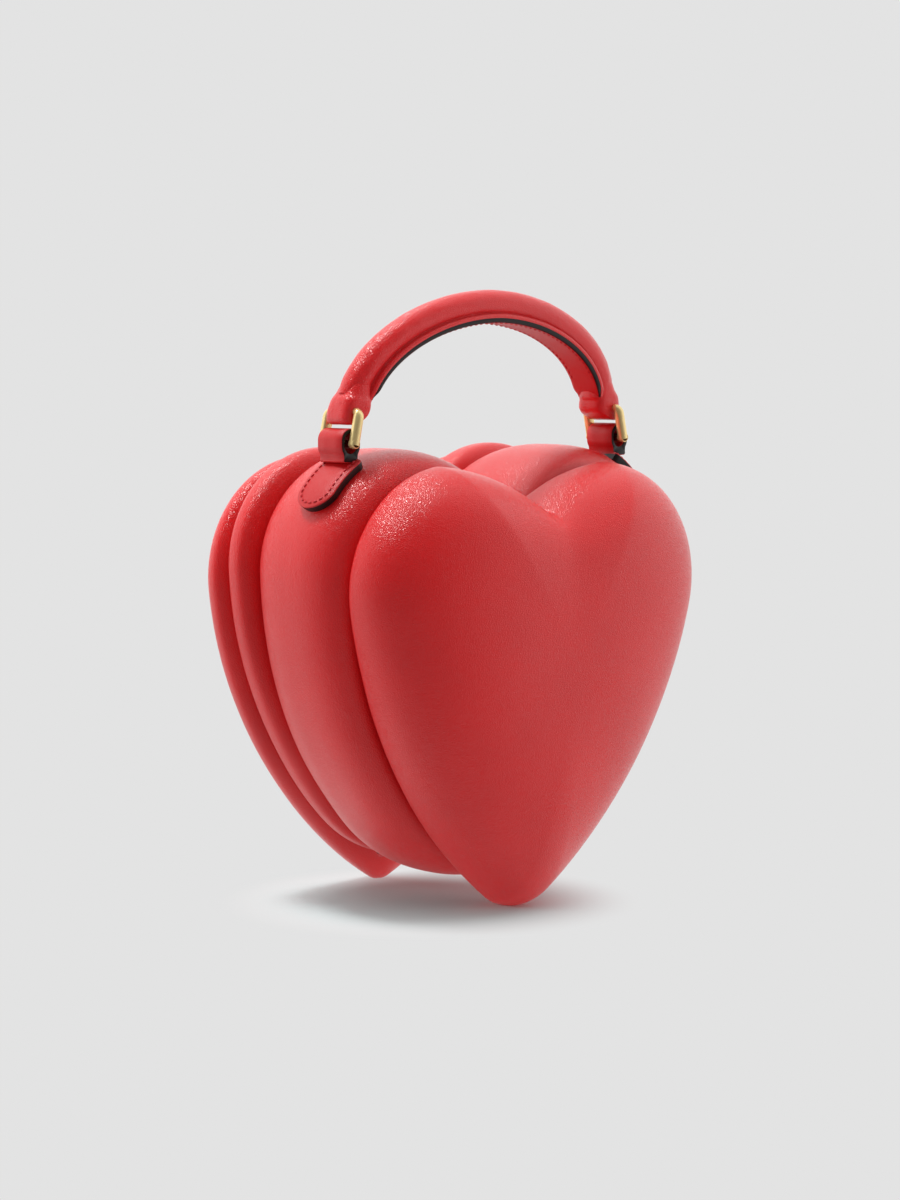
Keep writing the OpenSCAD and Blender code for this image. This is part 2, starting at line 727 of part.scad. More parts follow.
module arm_section() {
    fillet = arm_t / 5;
    union() {
        square([arm_w, arm_t - 2 * fillet], center = true);
        square([arm_w - 2 * fillet, arm_t], center = true);
        for (sx = [-1, 1]) for (sy = [-1, 1])
            translate([sx * (arm_w / 2 - fillet), sy * (arm_t / 2 - fillet)])
                circle(r = fillet, $fn = grooved_fn);
    }
}

module shackle() {
    color("gold") shackle_place() difference() {
        union() {
            for (side = [-1, 1]) {
                translate([0, side * arm_y, 0])
                    linear_extrude(shackle_len - bend_r) arm_section();
                translate([0, side * (arm_y + arm_t / 2), 0]) rotate([side * 90, 0, 0])
                    cylinder(r = arm_w / 2, h = arm_t, $fn = grooved_fn);
                translate([0, side * (arm_y - bend_r), shackle_len - bend_r])
                    rotate([0, 0, side * 90]) rotate([90, 0, 0]) rotate_extrude(angle = 90)
                        translate([bend_r, 0]) rotate(90) arm_section();
            }
            translate([0, arm_y - bend_r + run_gap, shackle_len]) rotate([90, 0, 0])
                cylinder(r = bar_r, h = 2 * (arm_y - bend_r + run_gap), $fn = grooved_fn);
        }
        translate([0, arm_y + arm_t, 0]) rotate([90, 0, 0])
            cylinder(r = pin_r + run_gap, h = 2 * (arm_y + arm_t), $fn = grooved_fn);
    }
}

module screw_pin() {
    sunk = arm_t / 4;
    slot = pin_r / 3;
    color("goldenrod") shackle_place() difference() {
        translate([0, arm_y + arm_t / 2 - sunk, 0]) rotate([90, 0, 0])
            cylinder(r = pin_r, h = 2 * arm_y + arm_t - 2 * sunk, $fn = grooved_fn);
        translate([-slot / 2, -arm_y - arm_t, -2 * pin_r])
            cube([slot, 3 * arm_t / 2, 4 * pin_r]);
    }
}

module right_shackle() {
    shackle();
}

module left_shackle() {
    mirror([1, 0, 0]) shackle();
}

module right_screw_pin() {
    screw_pin();
}

module left_screw_pin() {
    mirror([1, 0, 0]) screw_pin();
}

// Handle: a rolled tube on a flat strap, swept along one arch between the top bars
bar_x = shackle_half_x - shackle_len * sin(shackle_lean);
bar_z = shackle_z + shackle_len * cos(shackle_lean);
arch_w = bar_x - arch_inset;
handle_top = shackle_z + handle_rise;
arch_power = 1.9;
arch_n = 22;
arch_start = 8;
// Middle line of the arch, on the top face of the strap
arch_h = handle_top - 2 * roll_r + roll_r / 3 - bar_z;
function arch(t) = [-arch_w * sign(cos(t)) * pow(abs(cos(t)), 2 / arch_power),
    bar_z + arch_h * pow(sin(t), 2 / arch_power)];
function arch_step(i) = arch_start + (180 - 2 * arch_start) * i / arch_n;
function arch_out(t) = let (d = arch(t + 0.5) - arch(t - 0.5), u = d / norm(d)) [-u[1], u[0]];

// Section point: across the handle, and out from the arch line
function on_arch(t, q) = let (p = arch(t), o = arch_out(t))
    [p[0] + o[0] * q[1], handle_y + q[0], p[1] + o[1] * q[1]];
function sweep_rings(section) =
    [for (i = [0:arch_n]) [for (q = section) on_arch(arch_step(i), q)]];

module sweep(section, mid) {
    rings = sweep_rings(section);
    loft_capped(rings, on_arch(arch_step(0), mid), on_arch(arch_step(arch_n), mid));
}

roll_sides = 14;
core_sides = 10;
roll_c = roll_r * 2 / 3;
roll_flat = asin((roll_c - seam_gap) / roll_r);
roll_section = [for (i = [0:roll_sides])
    let (f = -roll_flat + (180 + 2 * roll_flat) * i / roll_sides)
    [roll_r * cos(f), roll_c + roll_r * sin(f)]];
function core_section(r) = [for (i = [0:core_sides - 1]) let (f = 360 * i / core_sides)
    [r * cos(f), roll_c + r * sin(f)]];

module handle_roll() {
    color("firebrick") difference() {
        sweep(roll_section, [0, roll_c]);
        handle_bore(roll_c - leather_t / 2);
    }
}

// The tube's hollow runs past both of its ends
module handle_bore(r) {
    rings = sweep_rings(core_section(r));
    n = len(rings);
    first = rings[0] + (rings[0] - rings[1]) / 2;
    last = rings[n - 1] + (rings[n - 1] - rings[n - 2]) / 2;
    whole = concat([first], [for (i = [1:n - 2]) rings[i]], [last]);
    loft_capped(whole, mid_of(first), mid_of(last));
}

function mid_of(ring) = [for (a = [0:2]) (min([for (p = ring) p[a]]) + max([for (p = ring) p[a]])) / 2];

module handle_core() {
    color("gainsboro") sweep(core_section(roll_c - leather_t / 2 - seam_gap), [0, roll_c]);
}

module handle_strap() {
    half = base_w / 2;
    color("firebrick") sweep([[half, -base_t], [half, 0], [-half, 0], [-half, -base_t]],
        [0, -base_t / 2]);
}

// Folded end of the handle in the plane of the arch, wrapped round the top bar
function in_arch(t, out) = arch(t) + arch_out(t) * out;
end_t = arch_start - 2 * seam_gap / arch_w * 60;

module end_loop() {
    inner = in_arch(end_t, -base_t);
    loop_wide = tab_w - 2 * seam_gap;
    color("firebrick") translate([0, handle_y + loop_wide / 2, 0]) rotate([90, 0, 0])
        linear_extrude(loop_wide) difference() {
            union() {
                translate([-bar_x, bar_z]) circle(r = end_loop_r, $fn = grooved_fn);
                polygon([inner, in_arch(end_t, roll_c + roll_r * 3 / 4),
                    [-bar_x - end_loop_r, bar_z], [-bar_x, bar_z - end_loop_r],
                    [-bar_x + end_loop_r, bar_z - end_loop_r / 2], [inner[0], bar_z]]);
            }
            translate([-bar_x, bar_z]) circle(r = bar_r + run_gap, $fn = grooved_fn);
        }
}

module left_end_loop() {
    end_loop();
}

module right_end_loop() {
    mirror([1, 0, 0]) end_loop();
}

seat() front_heart_cover();
seat() front_heart_padding();
seat() front_panel();
seat() centre_lobe_cover();
seat() centre_lobe_padding();
seat() case_tray();
seat() case_lining();
seat() case_zip_tape();
seat() case_zip_teeth();
seat() zip_slider();
seat() zip_puller();
seat() hinge_pin();
seat() case_hinge_loops();
seat() left_tab();
seat() right_tab();
seat() left_shackle();
seat() left_screw_pin();
seat() right_shackle();
seat() right_screw_pin();
seat() handle_roll();
seat() handle_core();
seat() handle_strap();
seat() left_end_loop();
seat() right_end_loop();
seat() rear_heart_cover();
seat() rear_heart_padding();
seat() rear_panel();
seat() narrow_lobe_cover();
seat() narrow_lobe_padding();
seat() rear_tray();
seat() rear_lining();
seat() rear_zip_tape();
seat() rear_zip_teeth();
seat() rear_hinge_loop();
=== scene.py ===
import bpy
import math
import numpy as np
from collections import namedtuple
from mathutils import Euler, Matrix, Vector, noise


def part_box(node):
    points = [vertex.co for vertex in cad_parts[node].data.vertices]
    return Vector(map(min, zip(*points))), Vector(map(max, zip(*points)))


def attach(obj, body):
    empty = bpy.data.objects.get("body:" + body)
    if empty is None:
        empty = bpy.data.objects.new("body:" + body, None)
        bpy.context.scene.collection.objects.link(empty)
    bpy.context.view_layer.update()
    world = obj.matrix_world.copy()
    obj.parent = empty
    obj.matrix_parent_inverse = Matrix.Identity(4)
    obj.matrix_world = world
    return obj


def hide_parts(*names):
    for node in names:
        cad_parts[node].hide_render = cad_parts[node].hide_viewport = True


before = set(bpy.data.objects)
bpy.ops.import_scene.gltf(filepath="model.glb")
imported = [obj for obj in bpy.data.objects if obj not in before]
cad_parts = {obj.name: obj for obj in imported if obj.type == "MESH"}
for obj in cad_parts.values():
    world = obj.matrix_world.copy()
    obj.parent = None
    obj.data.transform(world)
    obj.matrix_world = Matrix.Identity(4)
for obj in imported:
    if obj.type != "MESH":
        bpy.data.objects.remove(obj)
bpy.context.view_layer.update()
noise.seed_set(5)  # without a seed noise_vector would differ from run to run

# Sizes are in mm and places are the part's own, where the case opens at PART_Y.
# make() brings what it builds to metres and, by DY, to the frame's place.
MM = 0.001
PIN_LOW, PIN_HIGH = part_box("hinge_pin")
PART_Y = 53.6
DY = (PIN_LOW.y + PIN_HIGH.y) / 2 / MM - PART_Y

# heart outlines of the four lobes, from front to rear
Heart = namedtuple("Heart", "half_width height tip_z top_radius side_radius tip_radius")
FRONT = Heart(89.5, 186.5, 0, 48.4, 206, 16)
CENTRE = Heart(96, 192, 9.5, 49.4, 168, 72)
NARROW = Heart(94.5, 191.5, 14, 48, 166, 64)
REAR = Heart(94, 188, 0, 49.5, 175, 9)
CORE = 0.59 * FRONT.height  # the level that outlines shrink towards
TOP_STEPS, SIDE_STEPS, TIP_STEPS = 44, 40, 20

# the notch of a puffed heart: its valley is part filled at the edge, and runs out towards the crown
DIP, DIP_POWER, DIP_SOFT_SHARE = 11.4, 1.17, 0.22
EDGE_FILL, FADE_SHARE = 0.53, 0.23

# puffed hearts
ROLL = 6.5  # depth of the rounded edge
DRAW = 12.0  # how far the edge draws in to the seam
HEM, HEM_DEPTH = 2.4, 2.9
FRONT_PUFF, REAR_PUFF, DOME_POWER = 37.5, 18.5, 2.3
EDGE_STEPS, DOME_STEPS, CROWN_STEPS, DOME_TURN = 12, 46, 22, 74
TILT = math.radians(3.8)
PRESSED_FLAT, FLOOR_CLEARANCE = 0.35, 0.02
REAR_SEAM = 17.2  # the rear heart's seam, behind the parting
TIP_KICK, KICK_HEIGHT = 5.5, 50
FAR = 99  # a distance from any seam that leaves the leather smooth
SOFT_SCALE, PUCKER, PADDED = 0.022, 0.3, 0.9

# padded lobes; the zip runs between them
CENTRE_FRONT, ZIP_HALF_GAP, NARROW_REAR = 6.8, 2.3, 16.9
LOBE_STEPS, LOBE_POWER = 47, 2.8
SLIDER_Z = 60.0
BAY, BAY_REACH = 4.4, 14.4
LIP, LIP_START, LIP_RISE, LIP_GAP_REACH = 1.5, 36, 30, 20
TAPE_SHARE = 0.785 + 1.1 / NARROW.half_width

# tabs, shackles and handle
HANDLE_Y = 16.5
PIN_X, PIN_Z = 75.0, 194.5
LEAN, ARM = math.radians(12), 13.2
BAR_X = PIN_X - ARM * math.sin(LEAN)
BAR_Z = PIN_Z + ARM * math.cos(LEAN)
TAB_WIDTH, TONGUE_WIDTH, STRAP_THICK = 15.4, 18.8, 2.1
TONGUE_START, TONGUE_END, TONGUE_BEND = math.radians(61), math.radians(30), 51.2
TONGUE_TOP, TONGUE_BEVEL, TONGUE_CORNER, TONGUE_CROWN = 3.7, 0.4, 1.2, 0.12
SEAM_INSET = 2.2
LOOP_HALF_WIDTH, LOOP_HALF_HEIGHT = 5.0, 6.15
NECK_ANGLE, NECK_X, NECK_Z = -38, 3.3, -7.9
BOW_HALF_CLEAR, BOW_BEND, EYE_HALF_THICK = 8.3, 2.6, 1.5
BOW_ARM_WIDTH, BOW_ARM_THICK, BOW_BAR_RADIUS, BOW_RIDGE = 4.2, 3.2, 1.58, 0.28
ROLL_RADIUS = 6.5
ROLL_CENTRE = ROLL_RADIUS * 2 / 3
HANDLE_TOP, ARCH_INSET, ARCH_POWER = 257.2, 6.8, 1.9
ARCH_HEIGHT = HANDLE_TOP - 2 * ROLL_RADIUS + ROLL_RADIUS / 3 - BAR_Z
ARCH_HALF_WIDTH = BAR_X - ARCH_INSET
ARCH_START, ARCH_STATIONS = 8, 130
FALL = 0.17  # how far the handle leans forward for each mm of height
HANDLE_SEAM_X, HANDLE_SEAM_OUT, SEAM_SKIP = 6.2, -2.94, 7


# heart outlines
def top_centre(s):
    return np.array([s.half_width - s.top_radius, s.height - s.top_radius])


def tip_centre(s):
    return np.array([0.0, s.tip_z + s.tip_radius])


def side_centre(s):
    """Centre of the arc that touches the top's arc and the tip's arc from outside."""
    a, b = top_centre(s), tip_centre(s)
    ra, rb, d = s.side_radius - s.top_radius, s.side_radius - s.tip_radius, np.linalg.norm(b - a)
    u, w = (b - a) / d, (ra * ra - rb * rb + d * d) / (2 * d)
    return a + u * w - np.array([-u[1], u[0]]) * math.sqrt(ra * ra - w * w)


def arc(centre, r, start, end, steps, first):
    f = start + (end - start) * np.arange(first, steps + 1) / steps
    return np.stack([centre[0] + r * np.cos(f), centre[1] + r * np.sin(f)], 1)


def outline(s):
    """The heart outline, from the notch down the right side, and up the left side."""
    a, b, c = top_centre(s), tip_centre(s), side_centre(s)
    start = math.atan2(math.sqrt(s.top_radius ** 2 - a[0] ** 2), -a[0])
    upper, lower = math.atan2(*(a - c)[::-1]), math.atan2(*(b - c)[::-1])
    half = np.concatenate([arc(a, s.top_radius, start, upper, TOP_STEPS, 0),
                           arc(c, s.side_radius, upper, lower, SIDE_STEPS, 1),
                           arc(b, s.tip_radius, lower, -math.pi / 2, TIP_STEPS, 1)])
    return np.concatenate([half, half[-2:0:-1] * [-1, 1]])


def shrunk(s, k, fill=0.0):
    """The outline at share k of its size; fill raises the notch, at 1 to a shallow dip."""
    o = outline(s)
    a = top_centre(s)
    soft = DIP_SOFT_SHARE * a[0]
    f = np.clip(1 - (np.sqrt(o[:, 0] ** 2 + soft ** 2) - soft) / a[0], 0, None)
    filled = o.copy()
    up = (o[:, 1] > a[1]) & (f > 0)
    filled[up, 1] = s.height - DIP * f[up] ** DIP_POWER
    q = o * (1 - fill) + filled * fill
    return np.stack([k * q[:, 0], CORE + k * (q[:, 1] - CORE)], 1)


def smoothstep(f):
    return f * f * (3 - 2 * f)


def notch_fill(k):
    """How full the notch is on a heart's ring at share k: less at the edge, wholly further in."""
    return EDGE_FILL + (1 - EDGE_FILL) * smoothstep(min(1.0, max(0.0, (1 - k) / FADE_SHARE)))


def distance_along(points):
    return np.concatenate([[0], np.cumsum(np.linalg.norm(np.diff(points, axis=0), axis=1))])


def distance_from_notch(s):
    """Distance along the outline from the notch, for every point of a ring."""
    d = distance_along(outline(s))
    h = len(d) // 2
    return np.where(np.arange(len(d)) <= h, d, d[h] * 2 - d)


# mesh helpers
def make(name, verts, faces, mats, mat_ids=None, sharp=38, body=None, slot=None):
    """A mesh object from points in mm, riding on a body."""
    me = bpy.data.meshes.new(name)
    v = np.asarray(verts, float) + [0, DY, 0]
    me.from_pydata((v * MM).tolist(), [], [list(map(int, f)) for f in faces])
    for m in mats:
        me.materials.append(m)
    if mat_ids is not None:
        me.polygons.foreach_set("material_index", np.asarray(mat_ids, np.int32))
    me.polygons.foreach_set("use_smooth", [True] * len(me.polygons))
    me.update()
    me.validate()
    me.set_sharp_from_angle(angle=math.radians(sharp))
    o = bpy.data.objects.new(name, me)
    bpy.context.scene.collection.objects.link(o)
    if body:
        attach(o, body)
    return o


def grid_faces(m, n, wrap_m, wrap_n):
    i = np.arange(m if wrap_m else m - 1)[:, None]
    j = np.arange(n if wrap_n else n - 1)[None, :]
    i2, j2 = (i + 1) % m, (j + 1) % n
    corners = np.broadcast_arrays(i * n + j, i2 * n + j, i2 * n + j2, i * n + j2)
    return np.stack(corners, -1).reshape(-1, 4)


def turned(faces):
    return [f[::-1] for f in faces]


def outward(v, faces):
    """The faces, turned over if together they look inwards."""
    volume = 0.0
    for f in faces:
        a = v[f[0]]
        for q in range(1, len(f) - 1):
            volume += np.dot(a, np.cross(v[f[q]], v[f[q + 1]]))
    return turned(faces) if volume < 0 else faces


def loft(rings, wrap=False):
    """Points and faces of a loft through closed rings, in a loop or capped by a point at each end."""
    rings = np.asarray(rings, float)
    m, n = rings.shape[:2]
    v = rings.reshape(-1, 3)
    faces = [list(f) for f in grid_faces(m, n, wrap, True)]
    if not wrap:
        v = np.concatenate([v, [rings[0].mean(0)], [rings[-1].mean(0)]])
        faces += [[i, (i + 1) % n, m * n] for i in range(n)]
        faces += [[(m - 1) * n + (i + 1) % n, (m - 1) * n + i, m * n + 1] for i in range(n)]
    return v, outward(v, faces)


def joined(parts):
    """Several (points, faces) as one."""
    vs, fs, k = [], [], 0
    for v, f in parts:
        vs.append(np.asarray(v))
        fs += [[a + k for a in q] for q in f]
        k += len(v)
    return np.concatenate(vs), fs


def on_side(v, faces, side):
    """A piece built on the right, for side 1, or its mirror image for side -1."""
    return np.asarray(v) * [side, 1, 1], faces if side > 0 else turned(faces)


def wobble(v, scale, amount, seed):
    """A small smooth move of every point, the same each run."""
    out = np.array(v, float)
    for i, p in enumerate(out):
        q = Vector((p[0] * scale + seed, p[1] * scale - seed, p[2] * scale + 2 * seed))
        out[i] += np.array(noise.noise_vector(q)) * amount
    return out


def rounded(angle, half_x, half_y, power):
    """Point of an ellipse, or with a power over 2 of a squarer oval."""
    c, s = math.cos(angle), math.sin(angle)
    x, y = [math.copysign(abs(q) ** (2 / power), q) for q in (c, s)]
    return half_x * x, half_y * y


# shader nodes
def lin(rgb):
    return [((c / 255 + 0.055) / 1.055) ** 2.4 if c > 10 else c / 255 / 12.92 for c in rgb] + [1.0]


def grey(value):
    return (value, value, value, 1)


def new_material(name):
    m = bpy.data.materials.new(name)
    m.use_nodes = True
    nt = m.node_tree
    return m, nt, nt.nodes["Principled BSDF"]


def set_inputs(nt, node, inputs):
    """Link each value that is another node's output, and set the others."""
    for key, value in inputs.items():
        if isinstance(value, bpy.types.NodeSocket):
            nt.links.new(value, node.inputs[key])
        else:
            node.inputs[key].default_value = value


def add_node(nt, kind, inputs=None, **settings):
    node = nt.nodes.new("ShaderNode" + kind)
    for key, value in settings.items():
        setattr(node, key, value)
    set_inputs(nt, node, inputs or {})
    return node


def coords(nt, scale=None):
    here = add_node(nt, "TexCoord").outputs["Object"]
    if scale is None:
        return here
    return add_node(nt, "Mapping", {"Vector": here, "Scale": scale}).outputs["Vector"]


def tex_noise(nt, vec, scale, detail, rough):
    inputs = {"Vector": vec, "Scale": scale, "Detail": detail, "Roughness": rough}
    return add_node(nt, "TexNoise", inputs).outputs["Fac"]


def ramp(nt, fac, stops):
    r = add_node(nt, "ValToRGB", {"Fac": fac})
    e = r.color_ramp.elements
    e[0].position, e[0].color = stops[0]
    e[1].position, e[1].color = stops[-1]
    for p, c in stops[1:-1]:
        e.new(p).color = c
    return r.outputs["Color"]


def shades(nt, fac, rgb, dark, light):
    """A colour that runs with fac from dark to light shares of itself."""
    stops = [(p, lin([min(255, c * k) for c in rgb])) for p, k in ((0.3, dark), (0.7, light))]
    return ramp(nt, fac, stops)


def math_node(nt, op, a, b):
    return add_node(nt, "Math", {0: a, 1: b}, operation=op).outputs[0]


def rising(nt, low, fac, span):
    """low where fac is 0, and more by span where it is 1."""
    return math_node(nt, "ADD", low, math_node(nt, "MULTIPLY", fac, span))


def bump(nt, height, strength, distance, normal=None):
    inputs = {"Height": height, "Strength": strength, "Distance": distance}
    if normal is not None:
        inputs["Normal"] = normal
    return add_node(nt, "Bump", inputs).outputs["Normal"]


# materials
def leather(name, rgb, rough, grain, cell=1200, crease=0.0, coat=0.35):
    """Smooth calf leather: fine pebbled grain, faint clouding of its colour, an even satin finish."""
    m, nt, bsdf = new_material(name)
    v = coords(nt)
    cloud = tex_noise(nt, v, 26, 4, 0.55)
    dark, light = [c * 0.975 for c in rgb], [min(255, c * 1.02) for c in rgb]
    colour = ramp(nt, cloud, [(0.3, lin(dark)), (0.52, lin(rgb)), (0.75, lin(light))])
    swirl = add_node(nt, "TexNoise", {"Vector": v, "Scale": 420}).outputs["Color"]
    warped = add_node(nt, "MixRGB", {"Fac": 0.0012, "Color1": v, "Color2": swirl}).outputs["Color"]
    pebbles = add_node(nt, "TexVoronoi", {"Vector": warped, "Scale": cell}, feature="DISTANCE_TO_EDGE")
    cells = ramp(nt, pebbles.outputs["Distance"], [(0.0, grey(0)), (0.3, grey(1))])
    fine = tex_noise(nt, v, 2200, 2, 0.6)
    soft = tex_noise(nt, v, 300, 3, 0.5)
    pores = math_node(nt, "MULTIPLY", fine, 0.3)
    unevenness = math_node(nt, "ADD", pores, math_node(nt, "MULTIPLY", soft, 0.45))
    height = math_node(nt, "ADD", math_node(nt, "MULTIPLY", cells, 0.6), unevenness)
    normal = bump(nt, height, 0.64 * grain, 0.0003)
    if crease:
        normal = bump(nt, tex_noise(nt, coords(nt, (1, 3.2, 1)), 150, 2, 0.5), crease, 0.0006, normal)
    set_inputs(nt, bsdf, {"Base Color": colour, "Normal": normal, "Coat Normal": normal,
                          "Roughness": rising(nt, rough - 0.06, soft, 0.12), "Specular IOR Level": 0.5,
                          "Coat Weight": coat, "Coat Roughness": 0.2})
    return m


def paint(name, rgb, rough):
    """Thick edge paint: dark, slightly uneven, with a soft gloss."""
    m, nt, bsdf = new_material(name)
    n = tex_noise(nt, coords(nt), 240, 4, 0.6)
    set_inputs(nt, bsdf, {"Base Color": shades(nt, n, rgb, 0.75, 1.25), "Normal": bump(nt, n, 0.35, 0.0002),
                          "Roughness": rising(nt, rough - 0.1, n, 0.2), "Specular IOR Level": 0.5})
    return m


def metal(name, rgb, rough, metallic=1.0):
    """Plated metal with faint brushing and handling marks."""
    m, nt, bsdf = new_material(name)
    v = coords(nt)
    brushing, marks = tex_noise(nt, v, 900, 3, 0.6), tex_noise(nt, v, 90, 3, 0.6)
    set_inputs(nt, bsdf, {"Base Color": shades(nt, marks, rgb, 0.93, 1), "Metallic": metallic,
                          "Normal": bump(nt, brushing, 0.06, 0.0001),
                          "Roughness": rising(nt, rough - 0.04, marks, 0.1)})
    return m


def woven(name, rgb, pitch):
    """Plain woven cloth: crossed sets of threads."""
    m, nt, bsdf = new_material(name)
    v = coords(nt)
    waves = []
    for axis in ("X", "Z", "Y"):
        inputs = {"Vector": v, "Scale": 0.314 / pitch, "Distortion": 0.6, "Detail": 1}
        waves.append(add_node(nt, "TexWave", inputs, bands_direction=axis).outputs["Fac"])
    threads = math_node(nt, "ADD", math_node(nt, "MULTIPLY", waves[0], waves[1]), waves[2])
    n = tex_noise(nt, v, 60, 4, 0.6)
    set_inputs(nt, bsdf, {"Base Color": shades(nt, n, rgb, 0.8, 1.1), "Roughness": 0.85, "Sheen Weight": 0.25,
                          "Normal": bump(nt, threads, 0.4, 0.0002), "Specular IOR Level": 0.3})
    return m


def plain(name, rgb, rough, grain=200, depth=0.2):
    """Moulded plastic, board or foam with a fine surface."""
    m, nt, bsdf = new_material(name)
    n = tex_noise(nt, coords(nt), grain, 4, 0.6)
    set_inputs(nt, bsdf, {"Base Color": shades(nt, n, rgb, 0.85, 1.12), "Normal": bump(nt, n, depth, 0.0003),
                          "Roughness": rising(nt, rough - 0.05, n, 0.1)})
    return m


M_LEATHER = leather("red_leather", (209, 22, 25), 0.31, 0.8)
M_STRAP = leather("strap_leather", (184, 15, 19), 0.42, 0.5, 1450, 0.0, 0.05)
M_ROLL = leather("handle_leather", (209, 22, 26), 0.31, 0.8, 1200, 0.35, 0.5)
M_EDGE = paint("edge_paint", (18, 15, 15), 0.42)
M_THREAD = leather("thread", (186, 30, 38), 0.5, 0.4, 3000, 0.0, 0.0)
M_GOLD = metal("gold_plate", (255, 228, 160), 0.2, 0.6)
# painted shade: a dark reddish brown that stands in for the shade inside the sunk holes of the shackles' eyes
M_PIN_PAINTED_SHADE = metal("pin_painted_shade", (112, 58, 40), 0.4)
M_STEEL = metal("steel_pin", (44, 40, 38), 0.6)
M_LINING = woven("lining", (120, 16, 22), 0.0007)
M_TAPE = woven("zip_tape", (118, 12, 18), 0.0009)
M_TRAY = plain("tray_plastic", (34, 33, 35), 0.55)
M_BOARD = plain("fibreboard", (120, 94, 66), 0.8)
M_FOAM = plain("foam", (222, 218, 208), 0.9, 500, 0.5)

NODE_LOOK = {
    "front_heart_cover": M_LEATHER, "centre_lobe_cover": M_LEATHER, "narrow_lobe_cover": M_LEATHER,
    "rear_heart_cover": M_LEATHER, "left_tab": M_STRAP, "right_tab": M_STRAP, "handle_roll": M_ROLL,
    "handle_strap": M_STRAP, "left_end_loop": M_STRAP, "right_end_loop": M_STRAP,
    "case_hinge_loops": M_STRAP, "rear_hinge_loop": M_STRAP, "hinge_pin": M_STEEL,
    "case_lining": M_LINING, "rear_lining": M_LINING, "case_zip_tape": M_TAPE, "rear_zip_tape": M_TAPE,
    "case_tray": M_TRAY, "rear_tray": M_TRAY, "front_panel": M_BOARD, "rear_panel": M_BOARD,
    # the screw pins' ends carry the painted shade of the holes they sit in
    "left_screw_pin": M_PIN_PAINTED_SHADE, "right_screw_pin": M_PIN_PAINTED_SHADE,
}
for name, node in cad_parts.items():
    look = NODE_LOOK.get(name)
    if look is None:
        look = M_FOAM if "padding" in name or name == "handle_core" else M_GOLD
    if not node.material_slots:
        node.data.materials.append(look)
    for s in node.material_slots:
        s.material = look


# puffed hearts
def heart_rings(s, puff):
    """Rings in the cover's own place: its seam lies at y = 0 and the dome bulges to -y."""
    seam = 1 - DRAW / s.half_width
    rings, ks = [], []

    def add(k, y, fill):
        p = shrunk(s, k, fill)
        rings.append(np.stack([p[:, 0], np.full(len(p), y), p[:, 1]], 1))
        ks.append(k)

    def add_dome(k):
        add(k, -ROLL - puff * (1 - k ** 3) ** (1 / DOME_POWER), notch_fill(k))

    for y in (-HEM_DEPTH, 0.0):
        add(seam - HEM / s.half_width, y, EDGE_FILL)
    for i in range(EDGE_STEPS + 1):
        f = math.radians(90 * (1 - i / EDGE_STEPS))
        add(1 - (1 - seam) * (1 - math.cos(f)), -ROLL * (1 - math.sin(f)), EDGE_FILL)
    for i in range(1, DOME_STEPS + 1):
        add_dome(math.cos(math.radians(DOME_TURN * i / DOME_STEPS)) ** (2 / 3))
    inner = ks[-1]
    for i in range(1, CROWN_STEPS):
        add_dome(inner * (1 - i / CROWN_STEPS))
    return np.array(rings), np.array(ks)


def pucker(rings, s, near, seed, reach):
    """Fine gathers where the leather is pulled into a seam; near is each ring's distance from it in mm."""
    d = distance_from_notch(s)
    gathers = np.array([noise.noise(Vector((x * 0.16 + seed, seed * 1.7, 0.3))) +
                        0.5 * noise.noise(Vector((x * 0.42 - seed, 2.1, seed))) for x in d])
    for i, dist in enumerate(near):
        f = math.exp(-(dist / reach) ** 2) * PUCKER
        if f > 0.01:
            out = (rings[i] - [0, 0, CORE]) * [1, 0, 1]
            out = out / np.maximum(np.linalg.norm(out, axis=1), 1)[:, None]
            rings[i] = rings[i] + out * (gathers * f)[:, None]
    return rings


def front_place(v):
    """The front heart leans out to the front by TILT."""
    y, z = v[:, 1] + ROLL, v[:, 2]
    c, s = math.cos(TILT), math.sin(TILT)
    return np.stack([v[:, 0], y * c - z * s, y * s + z * c], 1)


def rear_place(v):
    """The rear heart faces back, and its tip reaches out further."""
    kick = TIP_KICK * (np.clip(KICK_HEIGHT - v[:, 2], 0, KICK_HEIGHT) / KICK_HEIGHT) ** 2
    return np.stack([v[:, 0], PART_Y + REAR_SEAM - v[:, 1] + kick, v[:, 2]], 1)


def heart(name, s, puff, place, seed, body, nodes):
    """A puffed heart that stands on the floor, pressed a little flat at its tip."""
    rings, ks = heart_rings(s, puff)
    near = np.where(ks > 0.8, np.abs(rings[:, 0, 1]), FAR)
    v, f = loft(pucker(rings, s, near, seed, 5.0))
    v = place(wobble(v, SOFT_SCALE, 0.35, seed))
    v[:, 2] = np.maximum(v[:, 2] - v[:, 2].min() - PRESSED_FLAT, FLOOR_CLEARANCE)
    o = make(name, v, outward(v, f), [M_LEATHER], sharp=60, body=body, slot="red_leather")
    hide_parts(*nodes)


heart("front_heart", FRONT, FRONT_PUFF, front_place, 3.1, "case",
      ("front_heart_cover", "front_heart_padding"))
heart("rear_heart", REAR, REAR_PUFF, rear_place, 8.4, "rear_case",
      ("rear_heart_cover", "rear_heart_padding"))

# padded lobes: planes of the front and rear face, how far the rounded faces draw in, share of the outline
# at the opening inside, lean, and 1 for the face that lies along the zip
Lobe = namedtuple("Lobe", "outline front rear draw base tilt zip_front zip_rear")
CENTRE_LOBE = Lobe(CENTRE, CENTRE_FRONT, PART_Y - ZIP_HALF_GAP, 14,
                   TAPE_SHARE * 0.994 + 0.6 / CENTRE.half_width, TILT, 0, 1)
NARROW_LOBE = Lobe(NARROW, PART_Y + ZIP_HALF_GAP, PART_Y + NARROW_REAR, 13,
                   TAPE_SHARE + 0.3 / NARROW.half_width, 0, 1, 0)


def slider_bay(p):
    """How far a lobe gives way to the slider, on the right side."""
    return np.where(p[:, 0] > 0, BAY * np.exp(-((p[:, 1] - SLIDER_Z) / BAY_REACH) ** 2), 0)


